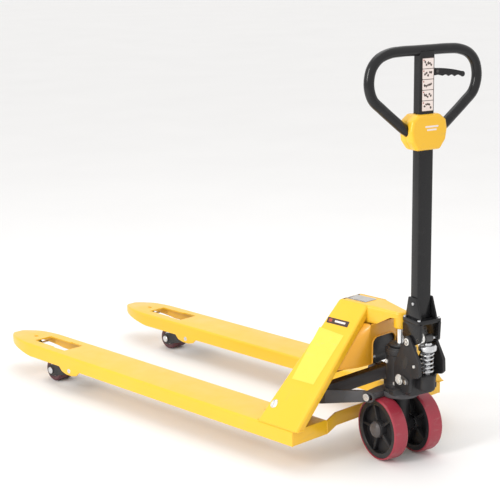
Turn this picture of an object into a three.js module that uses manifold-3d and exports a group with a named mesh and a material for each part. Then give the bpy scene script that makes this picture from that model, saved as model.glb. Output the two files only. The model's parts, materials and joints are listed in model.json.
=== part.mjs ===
// Hydraulic hand pallet truck, built as a bench assembly of separate pieces.
// Units are millimetres, +Z is up, +Y points along the forks to their tips.
// Everything is drawn from the steering axis at ground level, and the whole
// truck is then moved along Y so that its bounding box stands on the origin.
import * as THREE from 'three';
import { mergeVertices } from 'three/addons/utils/BufferGeometryUtils.js';
import Module from 'manifold-3d';

const wasm = await Module();
wasm.setup();

// ---- Driving dimensions -------------------------------------------------
const GAP = 0.4; // clearance between faces that touch on the real truck

// Chassis
const RAISED = 43; // height of the chassis above its lowest position
const FORK_TOP = 85 + RAISED;
const FORK_DEPTH = 46;
const FORK_WIDTH = 150;
const FORK_SPAN = 684; // across the outside of both forks
const FORK_X = (FORK_SPAN - FORK_WIDTH) / 2; // centre line of one fork
const HEEL_Y = 119; // pump end of the forks
const TIP_Y = 1580;
const TAPER_Y = 1430; // where the fork starts to narrow
const TIP_HALF = 24; // half width of the nose of the fork
const TIP_DEPTH = 24;
const SHEET = 5; // thickness of the pressed fork
const HEAD_TOP = 455; // top of the head beam
const HEAD_HALF = 46;
const HEAD_SKIRT = 52; // depth of its side skirts
const HEAD_REAR_Y = 208;
const NOSE_Y = -20;
const BULKHEAD_Y = 66; // front face of the sheet under the head
const BULKHEAD_HALF = 60; // half width of its flat middle
const LEG_SHEET = 6;
const FLANGE = 24; // how far the folded edges of a leg reach inward
const LEG_LOW_Y = [104, 267]; // front and rear edge of a leg at the fork
const LEG_HIGH_Y = [92, 208]; // and where it meets the head
const LEG_SEAT = 1.5; // depth of the step in the fork that the foot of a leg stands in

// Rocker and fork linkage
const ROCKER_Y = 236;
const ROCKER_Z = 175;
const ROCKER_R = 12;
const YOKE_Y = 38; // pins that tie the rocker to the thrust bracket
const YOKE_Z = 196;
const YOKE_X = 96;
const CRANK = 48; // from the rocker shaft down to the push rod pin
const ARM_Y = 1185; // pivot of the load wheel arm
const ARM_Z = 76;
const ROLLER_Y = 1331;
const ROLLER_R = 40;
const ROLLER_HALF = 33;
const HORN = 34; // push rod pin above the arm pivot
const ROD_IN = 26; // the push rods run this far inside the fork centre lines

// Steered unit
const STEER = THREE.MathUtils.degToRad(-12.8); // the handle stands turned a little
const WHEEL_R = 94;
const WHEEL_WIDTH = 50;
const WHEEL_X = 64; // centre plane of one steer wheel
const HUB_R = 88; // radius where the thin tyre sits on the hub
const RIM_IN = 75; // inside of the rim of the hub
const RAM_R = 15;
const RAM_TOP = 396;
const GLAND_TOP = 349;
const BRACKET_LOW = 190.5; // underside of the thrust bracket, just over the wheels
const BRACKET_TOP = 205;
const NECK_R = 28;
const PIVOT_Y = -92; // handle pivot
const PIVOT_Z = 382;
const PLUNGER_Y = -126; // axis of the pump plunger and its spring
const PLUNGER_ROLLER_R = 12;
const CAP_TOP = 381;
const SPRING_BOTTOM = 285;
const SPRING_TOP = 352;
const SPRING_COILS = 5;
const SPRING_WIRE = 2.6; // radius of the wire
const SPRING_R = 20.5; // outside radius of the coils
const HANDLE_Y = -91; // centre of the handle tube
const TUBE_W = 50;
const TUBE_D = 34;
const TUBE_WALL = 3;
const BASE_TOP = 450; // top of the handle's base plate
const LOOP_TOP = 1235;
const LOOP_R = 15; // radius of the bent round bar
const LOOP_HALF = 204; // half of the overall loop width
const BOSS_Z = 994;

// ---- Materials ------------------------------------------------------------
function paint(color, roughness, metalness) {
  return new THREE.MeshStandardMaterial({ color, roughness, metalness });
}
const finish = {
  yellow: () => paint(0xf2b91e, 0.38, 0.0),
  black: () => paint(0x1b1b1d, 0.3, 0.0),
  casting: () => paint(0x2b2b2d, 0.55, 0.2),
  steel: () => paint(0x63656a, 0.45, 0.7),
  zinc: () => paint(0xcfd2d6, 0.3, 0.9),
  chrome: () => paint(0xe4e6e8, 0.12, 1.0),
  tyre: () => paint(0x8e1d2c, 0.42, 0.0),
  plastic: () => paint(0x232324, 0.5, 0.0),
  label: () => paint(0xd9c3bd, 0.6, 0.0),
};

// ---- Shape helpers ----------------------------------------------------------
// Merges shared vertices, drops slivers without area and turns faces outward.
function solid(geometry) {
  const bare = geometry.clone();
  bare.deleteAttribute('normal');
  bare.deleteAttribute('uv');
  const merged = mergeVertices(bare, 1e-3);
  const vertices = merged.attributes.position.array;
  const faces = [];
  for (let i = 0; i < merged.index.count; i += 3) {
    const [a, b, c] = [0, 1, 2].map((k) => merged.index.getX(i + k));
    if (a !== b && b !== c && a !== c) faces.push(a, b, c);
  }
  const corner = (k) => new THREE.Vector3().fromArray(vertices, 3 * k);
  let volume = 0;
  for (let i = 0; i < faces.length; i += 3) {
    volume += corner(faces[i]).dot(corner(faces[i + 1]).cross(corner(faces[i + 2])));
  }
  if (volume < 0) faces.reverse();
  return new wasm.Manifold(new wasm.Mesh({
    numProp: 3,
    vertProperties: new Float32Array(vertices),
    triVerts: new Uint32Array(faces),
  }));
}

function geometryOf(manifold) {
  const { vertProperties, triVerts } = manifold.getMesh();
  const geometry = new THREE.BufferGeometry();
  geometry.setAttribute('position', new THREE.BufferAttribute(vertProperties, 3));
  geometry.setIndex(new THREE.BufferAttribute(triVerts, 1));
  geometry.computeVertexNormals();
  return geometry;
}

function cut(base, ...tools) {
  return geometryOf(tools.reduce((left, tool) => left.subtract(solid(tool)), solid(base)));
}

function join(base, ...others) {
  return geometryOf(others.reduce((sum, other) => sum.add(solid(other)), solid(base)));
}

function common(base, other) {
  return geometryOf(solid(base).intersect(solid(other)));
}

function outline(points) {
  return new THREE.Shape(points.map(([x, y]) => new THREE.Vector2(x, y)));
}

function extrude(shape, depth, curveSegments = 8) {
  return new THREE.ExtrudeGeometry(shape, { depth, bevelEnabled: false, curveSegments });
}

// A profile in X and Y, raised from z0 to z1.
function slabZ(shape, z0, z1, curveSegments) {
  return extrude(shape, z1 - z0, curveSegments).translate(0, 0, z0);
}

// A profile in Y and Z, drawn out from x0 to x1.
function slabX(shape, x0, x1, curveSegments) {
  const axes = new THREE.Matrix4().makeBasis(
    new THREE.Vector3(0, 1, 0),
    new THREE.Vector3(0, 0, 1),
    new THREE.Vector3(1, 0, 0),
  );
  return extrude(shape, x1 - x0, curveSegments).applyMatrix4(axes).translate(x0, 0, 0);
}

// A profile in X and Z, drawn out from y0 to y1.
function slabY(shape, y0, y1, curveSegments) {
  const axes = new THREE.Matrix4().makeBasis(
    new THREE.Vector3(1, 0, 0),
    new THREE.Vector3(0, 0, 1),
    new THREE.Vector3(0, -1, 0),
  );
  return extrude(shape, y1 - y0, curveSegments).applyMatrix4(axes).translate(0, y1, 0);
}

function block(x0, x1, y0, y1, z0, z1) {
  const box = new THREE.BoxGeometry(x1 - x0, y1 - y0, z1 - z0);
  return box.translate((x0 + x1) / 2, (y0 + y1) / 2, (z0 + z1) / 2);
}

function rodX(radius, x0, x1, y, z, sides = 24) {
  const rod = new THREE.CylinderGeometry(radius, radius, x1 - x0, sides);
  return rod.rotateZ(Math.PI / 2).translate((x0 + x1) / 2, y, z);
}

function rodY(radius, y0, y1, x, z, sides = 24) {
  const rod = new THREE.CylinderGeometry(radius, radius, y1 - y0, sides);
  return rod.translate(x, (y0 + y1) / 2, z);
}

function rodZ(radius, z0, z1, x, y, sides = 24) {
  const rod = new THREE.CylinderGeometry(radius, radius, z1 - z0, sides);
  return rod.rotateX(Math.PI / 2).translate(x, y, (z0 + z1) / 2);
}

// A closed profile of [radius, height] points, turned about Z.
function turned(points, sides) {
  const profile = points.map(([r, h]) => new THREE.Vector2(r, h));
  return new THREE.LatheGeometry(profile, sides).rotateX(Math.PI / 2);
}

// The same profile turned about X, its heights running along +X.
function turnedX(points, sides) {
  return turned(points, sides).rotateY(Math.PI / 2);
}

// Closed body through level rings that all have the same number of corners.
function loft(rings) {
  const count = rings[0].length;
  const geometry = new THREE.BufferGeometry();
  geometry.setAttribute('position', new THREE.Float32BufferAttribute(rings.flat(2), 3));
  const last = (rings.length - 1) * count;
  const contour = rings[0].map(([x, y]) => new THREE.Vector2(x, y));
  const cap = THREE.ShapeUtils.triangulateShape(contour, []);
  const faces = cap.flatMap(([a, b, c]) => [c, b, a, last + a, last + b, last + c]);
  for (let k = 0; k < last; k += count) {
    for (let i = 0; i < count; i += 1) {
      const [a, b] = [k + i, k + (i + 1) % count];
      faces.push(a, b, b + count, a, b + count, a + count);
    }
  }
  geometry.setIndex(faces);
  return geometry;
}

// A flat link in the Y-Z plane: round ends of two radii joined by tangents.
function linkShape(y0, z0, r0, y1, z1, r1) {
  const heading = Math.atan2(z1 - z0, y1 - y0);
  const spread = Math.acos((r0 - r1) / Math.hypot(y1 - y0, z1 - z0));
  const shape = new THREE.Shape();
  shape.absarc(y0, z0, r0, heading + spread, heading - spread + 2 * Math.PI, false);
  shape.absarc(y1, z1, r1, heading - spread, heading + spread, false);
  return shape;
}

function named(name, geometry, material) {
  const mesh = new THREE.Mesh(geometry, material());
  mesh.name = name;
  return mesh;
}

const SIDES = [['left', -1], ['right', 1]];

function mirrored(geometry, side) {
  return geometryOf(solid(geometry.clone().scale(-side, 1, 1)));
}

// ---- Chassis: forks, legs, head ---------------------------------------------
// Plan of one fork about its own centre line, drawn in by the given margin.
function forkPlan(margin) {
  const half = FORK_WIDTH / 2 - margin;
  const nose = TIP_HALF - margin / 2;
  const end = TIP_Y - margin;
  const shape = new THREE.Shape();
  shape.moveTo(-half, HEEL_Y + margin);
  shape.lineTo(half, HEEL_Y + margin);
  shape.lineTo(half, TAPER_Y);
  shape.quadraticCurveTo(half - 8, end - 48, nose, end);
  shape.lineTo(-nose, end);
  shape.quadraticCurveTo(8 - half, end - 48, -half, TAPER_Y);
  return shape;
}

// Side profile of a fork: flat on top, lifting at the nose.
function forkSide(top, bottom, noseDepth) {
  return outline([
    [HEEL_Y - 1, bottom], [TAPER_Y - 20, bottom], [TIP_Y + 1, top - noseDepth],
    [TIP_Y + 1, top - 5], [TIP_Y - 70, top], [HEEL_Y - 1, top],
  ]);
}

function forkBody() {
  const bottom = FORK_TOP - FORK_DEPTH;
  const outer = common(
    slabZ(forkPlan(0), bottom, FORK_TOP, 6),
    slabX(forkSide(FORK_TOP, bottom, TIP_DEPTH), -FORK_WIDTH, FORK_WIDTH),
  );
  const inner = common(
    slabZ(forkPlan(SHEET), bottom - 20, FORK_TOP, 6),
    slabX(forkSide(FORK_TOP - SHEET, bottom - 10, TIP_DEPTH + 10), -FORK_WIDTH, FORK_WIDTH),
  );
  return cut(outer, inner);
}

// Stepped window over the load roller, and the sight hole near the nose.
function forkWindows() {
  const window = outline([
    [-40, 1252], [40, 1252], [40, 1313], [35, 1313],
    [35, 1430], [-35, 1430], [-35, 1313], [-40, 1313],
  ]);
  const sight = new THREE.Shape().absellipse(0, 1470, 7, 9, 0, 2 * Math.PI);
  return [slabZ(window, 100, FORK_TOP + 5), slabZ(sight, 100, FORK_TOP + 5, 5)];
}

// Ears under both side walls that carry the pivot of the load wheel arm.
function forkLobes() {
  const top = FORK_TOP - FORK_DEPTH + 6;
  const low = ARM_Z - 15;
  const shape = outline([
    [ARM_Y - 62, top], [ARM_Y - 40, low + 6], [ARM_Y - 16, low],
    [ARM_Y + 16, low], [ARM_Y + 40, low + 6], [ARM_Y + 62, top],
  ]);
  const half = FORK_WIDTH / 2;
  return [slabX(shape, -half, SHEET - half), slabX(shape, half - SHEET, half)];
}

// side is -1 for the left fork and +1 for the right one.
function fork(side) {
  const crankSlot = block(ROD_IN - 20, ROD_IN + 20, 204, 318, FORK_TOP - 20, FORK_TOP + 5);
  const armBores = rodX(8.3, -FORK_WIDTH, FORK_WIDTH, ARM_Y, ARM_Z, 16);
  const inward = 33.5 - FORK_WIDTH / 2; // clears the folded edges of the leg
  const legSeat = block(
    -FORK_WIDTH, inward, HEEL_Y - 5, LEG_LOW_Y[1] + 1.5, FORK_TOP - LEG_SEAT, FORK_TOP + 5,
  );
  const whole = join(forkBody(), ...forkLobes());
  const open = cut(whole, ...forkWindows(), crankSlot, armBores, legSeat);
  return mirrored(open, side).translate(side * FORK_X, 0, 0);
}

// The leg lies in a plane that leans from the fork's outer edge to the head.
// It is drawn flat, in Y and the distance up the slope, and then tilted.
function leg(side) {
  const run = FORK_SPAN / 2 - HEAD_HALF;
  const rise = HEAD_TOP - FORK_TOP;
  const slope = Math.hypot(run, rise);
  const [lowFront, lowRear] = LEG_LOW_Y;
  const [highFront, highRear] = LEG_HIGH_Y;
  const plate = slabZ(outline([
    [lowFront, -10], [lowRear, -10], [highRear, slope + 10], [highFront, slope + 10],
  ]), 0, LEG_SHEET);
  const flange = (low, high) => slabZ(outline([
    [low, -10], [low + LEG_SHEET, -10], [high + LEG_SHEET, slope + 10], [high, slope + 10],
  ]), 0, 22);
  const folded = join(
    plate,
    flange(lowFront, highFront),
    flange(lowRear - LEG_SHEET, highRear - LEG_SHEET),
  );
  folded.applyMatrix4(new THREE.Matrix4().makeBasis(
    new THREE.Vector3(0, 1, 0),
    new THREE.Vector3(run / slope, 0, rise / slope),
    new THREE.Vector3(rise / slope, 0, -run / slope),
  )).translate(-FORK_SPAN / 2, 0, FORK_TOP);
  const foot = FORK_TOP - LEG_SEAT + GAP;
  const room = block(-400, -HEAD_HALF - GAP, 0, 400, foot, HEAD_TOP - 1);
  const trimmed = common(folded, room);
  const shaftBore = rodX(ROCKER_R + 0.5, -400, -200, ROCKER_Y, ROCKER_Z, 20);
  return mirrored(cut(trimmed, shaftBore), side);
}

function headPlan(margin) {
  const half = HEAD_HALF - margin;
  const nose = 24 - margin;
  const shape = new THREE.Shape();
  shape.moveTo(half, HEAD_REAR_Y - margin);
  shape.lineTo(-half, HEAD_REAR_Y - margin);
  shape.lineTo(-half, 92);
  shape.lineTo(-nose, NOSE_Y + 24);
  shape.absarc(0, NOSE_Y + 24, nose, Math.PI, 2 * Math.PI, false);
  shape.lineTo(half, 92);
  return shape;
}

// Pressed head: a cap with skirts, and a boss over the ram at its nose.
function headBeam() {
  const low = HEAD_TOP - HEAD_SKIRT;
  const side = outline([
    [NOSE_Y - 1, low + 24], [20, low + 24], [62, low], [HEAD_REAR_Y + 1, low], [HEAD_REAR_Y + 1, HEAD_TOP],
    [80, HEAD_TOP], [NOSE_Y - 1, HEAD_TOP - 10],
  ]);
  const shell = common(slabZ(headPlan(0), low, HEAD_TOP, 8), slabX(side, -60, 60));
  const hollow = slabZ(headPlan(6), low - 10, HEAD_TOP - 18, 8);
  const boss = rodZ(22, RAM_TOP + GAP, HEAD_TOP - 14, 0, 0, 28);
  return join(cut(shell, hollow), boss);
}

// Half width between the insides of the two legs at a given height.
function insideLegs(z) {
  const run = FORK_SPAN / 2 - HEAD_HALF;
  const rise = HEAD_TOP - FORK_TOP;
  const wall = LEG_SHEET * Math.hypot(run, rise) / rise;
  return FORK_SPAN / 2 - (z - FORK_TOP) * run / rise - wall - GAP;
}

// Gives a line in plan the thickness of a sheet and returns the closed outline.
function thickened(line, sheet) {
  const behind = line.map(([x, y], k) => {
    const before = line[Math.max(k - 1, 0)];
    const after = line[Math.min(k + 1, line.length - 1)];
    const [dx, dy] = [after[0] - before[0], after[1] - before[1]];
    const run = Math.hypot(dx, dy);
    return [x - sheet * dy / run, y + sheet * dx / run];
  });
  return [...line, ...behind.reverse()];
}

// Front bulkhead: a sheet under the head. Its wings sweep back to the folded
// front edges of the legs, and it is cut away in an arch for the pump.
function frontBulkhead() {
  const top = HEAD_TOP - HEAD_SKIRT - GAP;
  const low = 280;
  const lean = (LEG_LOW_Y[0] - LEG_HIGH_Y[0]) / (HEAD_TOP - FORK_TOP);
  const level = (z) => {
    const reach = insideLegs(z) - FLANGE - BULKHEAD_HALF;
    const sweep = LEG_LOW_Y[0] - (z - FORK_TOP) * lean - BULKHEAD_Y;
    const wing = [[0, 0], [0.55, 0.3], [0.8, 0.62], [1, 1]].map(([along, back]) => (
      [BULKHEAD_HALF + along * reach, BULKHEAD_Y + back * sweep]
    ));
    const mirror = wing.map(([x, y]) => [-x, y]).reverse();
    return thickened([...mirror, ...wing], SHEET).map(([x, y]) => [x, y, z]);
  };
  const heights = [0, 0.25, 0.5, 0.75, 1].map((share) => low + share * (top - low));
  const arch = new THREE.Shape();
  const [side, crown, r] = [53, 362, 24];
  arch.moveTo(-side, low - 5);
  arch.lineTo(-side, crown - r);
  arch.absarc(r - side, crown - r, r, Math.PI, Math.PI / 2, true);
  arch.absarc(side - r, crown - r, r, Math.PI / 2, 0, true);
  arch.lineTo(side, low - 5);
  return cut(loft(heights.map(level)), slabY(arch, 0, 200, 5));
}

// Dark plate behind the arch, which keeps the road off the pump.
function archShield() {
  const front = BULKHEAD_Y + SHEET + GAP;
  const plate = block(-55, 55, front, front + 4, 279, 364);
  const bolts = [-1, 1].map((s) => rodY(4, front - 2, front + 8, s * 40, 300, 12));
  return join(plate, ...bolts);
}

// Rear bulkhead: the load stop, in the plane of the rear edges of the legs.
function rearBulkhead() {
  const top = HEAD_TOP - HEAD_SKIRT - GAP;
  const low = 206;
  const lean = (LEG_LOW_Y[1] - LEG_HIGH_Y[1]) / (HEAD_TOP - FORK_TOP);
  const rearAt = (z) => LEG_LOW_Y[1] - (z - FORK_TOP) * lean - LEG_SHEET - GAP;
  const shape = outline([
    [FLANGE - insideLegs(low), low], [insideLegs(low) - FLANGE, low],
    [insideLegs(top) - FLANGE, top], [FLANGE - insideLegs(top), top],
  ]);
  const side = outline([
    [rearAt(low) - 5, low - 1], [rearAt(low), low - 1],
    [rearAt(top), top + 1], [rearAt(top) - 5, top + 1],
  ]);
  return common(slabY(shape, 0, 400), slabX(side, -400, 400));
}

// Channel that ties the heels of the forks together behind the steer wheels.
function crossMember() {
  const inner = FORK_X - FORK_WIDTH / 2 - GAP;
  const low = FORK_TOP - FORK_DEPTH;
  const plan = (front, back) => outline([
    [-inner, HEEL_Y + front], [-118, 150 + front], [118, 150 + front], [inner, HEEL_Y + front],
    [inner, HEEL_Y + back], [122, 150 + back], [-122, 150 + back], [-inner, HEEL_Y + back],
  ]);
  return join(slabZ(plan(0, 6), low, low + 42), slabZ(plan(0, 26), low, low + 5));
}

function chassis() {
  const group = new THREE.Group();
  group.add(named('head_beam', headBeam(), finish.yellow));
  group.add(named('front_bulkhead', frontBulkhead(), finish.yellow));
  group.add(named('arch_shield', archShield(), finish.casting));
  group.add(named('rear_bulkhead', rearBulkhead(), finish.yellow));
  group.add(named('cross_member', crossMember(), finish.yellow));
  const plate = block(-26, 26, 118, 196, HEAD_TOP + GAP, HEAD_TOP + 1.6);
  group.add(named('data_plate', plate, finish.label));
  for (const [word, side] of SIDES) {
    group.add(named(`fork_${word}`, fork(side), finish.yellow));
    group.add(named(`leg_${word}`, leg(side), finish.yellow));
    group.add(named(`arm_pivot_pin_${word}`, armPivotPin(side), finish.zinc));
    group.add(named(`entry_axle_${word}`, entryAxle(side), finish.zinc));
  }
  return group;
}

function armPivotPin(side) {
  const half = FORK_WIDTH / 2 + 1;
  return rodX(8, side * FORK_X - half, side * FORK_X + half, ARM_Y, ARM_Z, 16);
}

// ---- Rollers at the tips ----------------------------------------------------
const ENTRY_Y = 1478;
const ENTRY_Z = FORK_TOP - 32;
const ENTRY_R = 14;

function entryAxle(side) {
  const half = 56;
  return rodX(4, side * FORK_X - half, side * FORK_X + half, ENTRY_Y, ENTRY_Z, 12);
}

function entryRoller(side) {
  const profile = [[4.3, -22], [ENTRY_R, -22], [ENTRY_R, 22], [4.3, 22], [4.3, -22]];
  return turnedX(profile, 20).translate(side * FORK_X, ENTRY_Y, ENTRY_Z);
}

function loadRoller(side) {
  const chamfer = 3;
  const bore = 8.3;
  const profile = [
    [bore, -ROLLER_HALF], [ROLLER_R - chamfer, -ROLLER_HALF], [ROLLER_R, chamfer - ROLLER_HALF],
    [ROLLER_R, ROLLER_HALF - chamfer], [ROLLER_R - chamfer, ROLLER_HALF], [bore, ROLLER_HALF],
    [bore, -ROLLER_HALF],
  ];
  return turnedX(profile, 36).translate(side * FORK_X, ROLLER_Y, ROLLER_R);
}

function rollerAxle(side) {
  const shaft = rodX(8, -45, 45, ROLLER_Y, ROLLER_R, 16);
  const heads = [rodX(12, -48, -43.4, ROLLER_Y, ROLLER_R, 16), rodX(12, 43.4, 48, ROLLER_Y, ROLLER_R, 16)];
  return join(shaft, ...heads).translate(side * FORK_X, 0, 0);
}

// Two cheeks, a web between them and a horn above the pivot for the push rod.
function wheelArm(side) {
  const cheek = linkShape(ARM_Y, ARM_Z, 17, ROLLER_Y, ROLLER_R, 20);
  const cheeks = [slabX(cheek, -43, -36, 6), slabX(cheek, 36, 43, 6)];
  const web = block(-37, 37, ARM_Y + 26, ARM_Y + 58, ARM_Z - 26, ARM_Z - 4);
  const hub = rodX(16.5, -37, 37, ARM_Y, ARM_Z, 20);
  const horn = linkShape(ARM_Y, ARM_Z, 15, ARM_Y - 2, ARM_Z + HORN, 10);
  const horns = [slabX(horn, ROD_IN - 12, ROD_IN - 7, 5), slabX(horn, ROD_IN + 7, ROD_IN + 12, 5)];
  const bores = [
    rodX(8.3, -60, 60, ARM_Y, ARM_Z, 16),
    rodX(8.3, -60, 60, ROLLER_Y, ROLLER_R, 16),
    rodX(5.3, -60, 60, ARM_Y - 2, ARM_Z + HORN, 12),
  ];
  return mirrored(cut(join(...cheeks, web, hub, ...horns), ...bores), side).translate(side * FORK_X, 0, 0);
}

function hornPin(side) {
  return rodX(5, -14, 14, ARM_Y - 2, ARM_Z + HORN, 12).translate(rodPlane(side), 0, 0);
}

// ---- Rocker and push rods -----------------------------------------------------
const CRANK_Z = ROCKER_Z - CRANK;

function rodPlane(side) {
  return side * (FORK_X - ROD_IN);
}

// A flat bar, cranked down at the heel so that it runs inside the fork.
function pushRod(side) {
  const [low, high] = [92, 106];
  const [heel, tip] = [ROCKER_Y, ARM_Y - 2];
  const tipZ = ARM_Z + HORN;
  const bar = outline([
    [heel - 10, CRANK_Z - 11], [heel + 20, CRANK_Z - 11], [heel + 62, low], [tip - 70, low],
    [tip - 22, tipZ - 15], [tip + 6, tipZ - 15], [tip + 12, tipZ - 6], [tip + 12, tipZ + 4],
    [tip + 6, tipZ + 10], [tip - 22, tipZ + 10], [tip - 70, high], [heel + 72, high],
    [heel + 24, CRANK_Z + 16], [heel - 10, CRANK_Z + 16], [heel - 15, CRANK_Z + 8],
    [heel - 15, CRANK_Z - 4],
  ]);
  const holes = [
    rodX(7.6, -20, 20, heel, CRANK_Z - 0.5, 14),
    rodX(7.6, -20, 20, heel, CRANK_Z + 3.5, 14),
    rodX(6.6, -20, 20, tip, tipZ - 4.5, 12),
    rodX(6.6, -20, 20, tip, tipZ + 0.5, 12),
  ];
  const rod = cut(slabX(bar, -6, 6), ...holes);
  return rod.translate(rodPlane(side), 0, 0);
}

function rockerShaft() {
  return rodX(ROCKER_R, -296, 296, ROCKER_Y, ROCKER_Z, 20);
}

function crankArm(side) {
  const shape = linkShape(ROCKER_Y, ROCKER_Z, 17, ROCKER_Y, CRANK_Z, 13);
  const plates = [slabX(shape, -16, -7, 6), slabX(shape, 7, 16, 6)];
  const boss = rodX(16, -15, 15, ROCKER_Y, ROCKER_Z, 20);
  const bores = [
    rodX(ROCKER_R + 0.3, -20, 20, ROCKER_Y, ROCKER_Z, 20),
    rodX(6.3, -20, 20, ROCKER_Y, CRANK_Z, 14),
  ];
  return cut(join(...plates, boss), ...bores).translate(rodPlane(side), 0, 0);
}

function crankPin(side) {
  return rodX(6, -18, 18, ROCKER_Y, CRANK_Z, 14).translate(rodPlane(side), 0, 0);
}

// One bent side arm of the yoke, seen in plan, then trimmed to its side profile.
function yokeArm() {
  const plan = outline([
    [YOKE_X, YOKE_Y - 30], [YOKE_X + 10, YOKE_Y - 30], [YOKE_X + 10, YOKE_Y + 18],
    [168, 168], [168, ROCKER_Y + 30], [158, ROCKER_Y + 30], [158, 172], [YOKE_X, YOKE_Y + 22],
  ]);
  const side = linkShape(YOKE_Y - 7, YOKE_Z, 16, ROCKER_Y, ROCKER_Z, 25);
  return common(slabZ(plan, 120, 250), slabX(side, 60, 200, 8));
}

// The rocker casting: two side arms, the beam between them and the shaft bosses.
function rockerYoke() {
  const arm = yokeArm();
  const beam = block(-150, 150, 152, 182, ROCKER_Z + 4, ROCKER_Z + 42);
  const ends = [block(132, 164, 156, 190, ROCKER_Z - 12, ROCKER_Z + 40)];
  const bosses = [rodX(25, 150, 186, ROCKER_Y, ROCKER_Z, 24)];
  const half = join(arm, ...ends, ...bosses);
  const whole = join(beam, half, mirrored(half, 1), mirrored(half, -1));
  const slot = join(
    rodX(8.8, -120, 120, YOKE_Y - 11, YOKE_Z, 14),
    rodX(8.8, -120, 120, YOKE_Y + 2, YOKE_Z, 14),
    block(-120, 120, YOKE_Y - 11, YOKE_Y + 2, YOKE_Z - 8.6, YOKE_Z + 8.6),
  );
  return cut(whole, rodX(ROCKER_R + 0.3, -200, 200, ROCKER_Y, ROCKER_Z, 20), slot);
}

function linkage() {
  const group = new THREE.Group();
  group.add(named('rocker_shaft', rockerShaft(), finish.zinc));
  group.add(named('rocker_yoke', rockerYoke(), finish.casting));
  for (const [word, side] of SIDES) {
    group.add(named(`rocker_crank_${word}`, crankArm(side), finish.casting));
    group.add(named(`crank_pin_${word}`, crankPin(side), finish.zinc));
    group.add(named(`push_rod_${word}`, pushRod(side), finish.steel));
    group.add(named(`wheel_arm_${word}`, wheelArm(side), finish.casting));
    group.add(named(`horn_pin_${word}`, hornPin(side), finish.zinc));
    group.add(named(`load_roller_${word}`, loadRoller(side), finish.black));
    group.add(named(`roller_axle_${word}`, rollerAxle(side), finish.zinc));
    group.add(named(`entry_roller_${word}`, entryRoller(side), finish.black));
  }
  return group;
}

// ---- Thrust bracket: carries the chassis on its pins and does not steer --------
function thrustBracket() {
  const ring = rodZ(56, BRACKET_LOW, BRACKET_TOP, 0, 0, 32);
  const edge = YOKE_X - GAP;
  const bar = slabZ(outline([
    [-edge, 20], [edge, 20], [edge, 54], [40, 60], [-40, 60], [-edge, 54],
  ]), BRACKET_LOW, YOKE_Z + 12);
  const pins = rodX(6.5, -YOKE_X - 15, YOKE_X + 15, YOKE_Y, YOKE_Z, 16);
  const heads = [-1, 1].map((s) => rodX(12, s * (YOKE_X + 13.5) - 2.5, s * (YOKE_X + 13.5) + 2.5,
    YOKE_Y, YOKE_Z, 16));
  const room = rodZ(53, BRACKET_TOP, BRACKET_TOP + 30, 0, 0, 32);
  const neck = rodZ(NECK_R + 0.6, 100, 300, 0, 0, 32);
  return cut(join(ring, bar, pins, ...heads), room, neck);
}

function thrustBearing() {
  const low = BRACKET_TOP + GAP;
  const profile = [
    [NECK_R + 1, low], [50, low], [52, low + 2], [52, low + 7], [50, low + 9],
    [NECK_R + 1, low + 9], [NECK_R + 1, low],
  ];
  return turned(profile, 32);
}

// ---- Pump -----------------------------------------------------------------------
const PUMP_LOW = BRACKET_TOP + 10;
const CHEEK_IN = 39;
const CHEEK_OUT = 49;

// Side cheek of the pump casting, in Y and Z, rounded over the handle shaft.
function cheekShape() {
  const shape = new THREE.Shape();
  shape.moveTo(-34, PUMP_LOW);
  shape.lineTo(-28, 300);
  shape.lineTo(PIVOT_Y + 17, PIVOT_Z);
  shape.absarc(PIVOT_Y, PIVOT_Z, 17, 0, 0.86 * Math.PI, false);
  shape.lineTo(-150, 330);
  shape.lineTo(-152, 292);
  shape.lineTo(-140, 282);
  shape.lineTo(-112, 276);
  shape.lineTo(-102, PUMP_LOW + 12);
  shape.lineTo(-72, PUMP_LOW + 6);
  shape.lineTo(-72, PUMP_LOW);
  return shape;
}

// Lightening window seen in both cheeks.
function cheekWindow() {
  return new THREE.Shape().absellipse(-84, 316, 12, 22, 0, 2 * Math.PI, false, 0.35);
}

function pumpBody() {
  const cylinder = rodZ(43, PUMP_LOW, GLAND_TOP - 8, 0, 0, 32);
  const collar = rodZ(47, GLAND_TOP - 30, GLAND_TOP - 14, 0, 0, 32);
  const neck = rodZ(NECK_R, 66, PUMP_LOW, 0, 0, 32);
  const axleBoss = rodX(26, -36, 36, 0, WHEEL_R, 24);
  const foot = rodZ(50, PUMP_LOW, PUMP_LOW + 16, 0, 0, 32);
  const crossBar = block(-80, 80, -74, -46, PUMP_LOW, PUMP_LOW + 18);
  const reservoir = block(-CHEEK_IN - 2, CHEEK_IN + 2, -102, -20, PUMP_LOW, 298);
  const seat = block(-22, 22, PLUNGER_Y, -100, PUMP_LOW + 22, SPRING_BOTTOM - GAP);
  const seatBoss = rodZ(24, PUMP_LOW + 22, SPRING_BOTTOM - GAP, 0, PLUNGER_Y, 28);
  const cheeks = [
    slabX(cheekShape(), -CHEEK_OUT, -CHEEK_IN, 12),
    slabX(cheekShape(), CHEEK_IN, CHEEK_OUT, 12),
  ];
  const whole = join(
    cylinder, collar, neck, axleBoss, foot, crossBar, reservoir, seat, seatBoss, ...cheeks,
  );
  return cut(
    whole,
    rodZ(RAM_R + 4, 200, GLAND_TOP, 0, 0, 24),
    rodZ(10.5, 230, 300, 0, PLUNGER_Y, 20),
    rodX(13, -60, 60, 0, WHEEL_R, 20),
    rodX(8.3, -60, 60, PIVOT_Y, PIVOT_Z, 16),
    slabX(cheekWindow(), -60, -CHEEK_OUT + 5, 8),
    slabX(cheekWindow(), CHEEK_OUT - 5, 60, 8),
  );
}

function pumpGland() {
  const low = GLAND_TOP - 8 + GAP;
  const profile = [
    [RAM_R + 0.6, low], [36, low], [36, GLAND_TOP - 2], [34, GLAND_TOP], [RAM_R + 0.6, GLAND_TOP],
    [RAM_R + 0.6, low],
  ];
  return turned(profile, 32);
}

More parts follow.
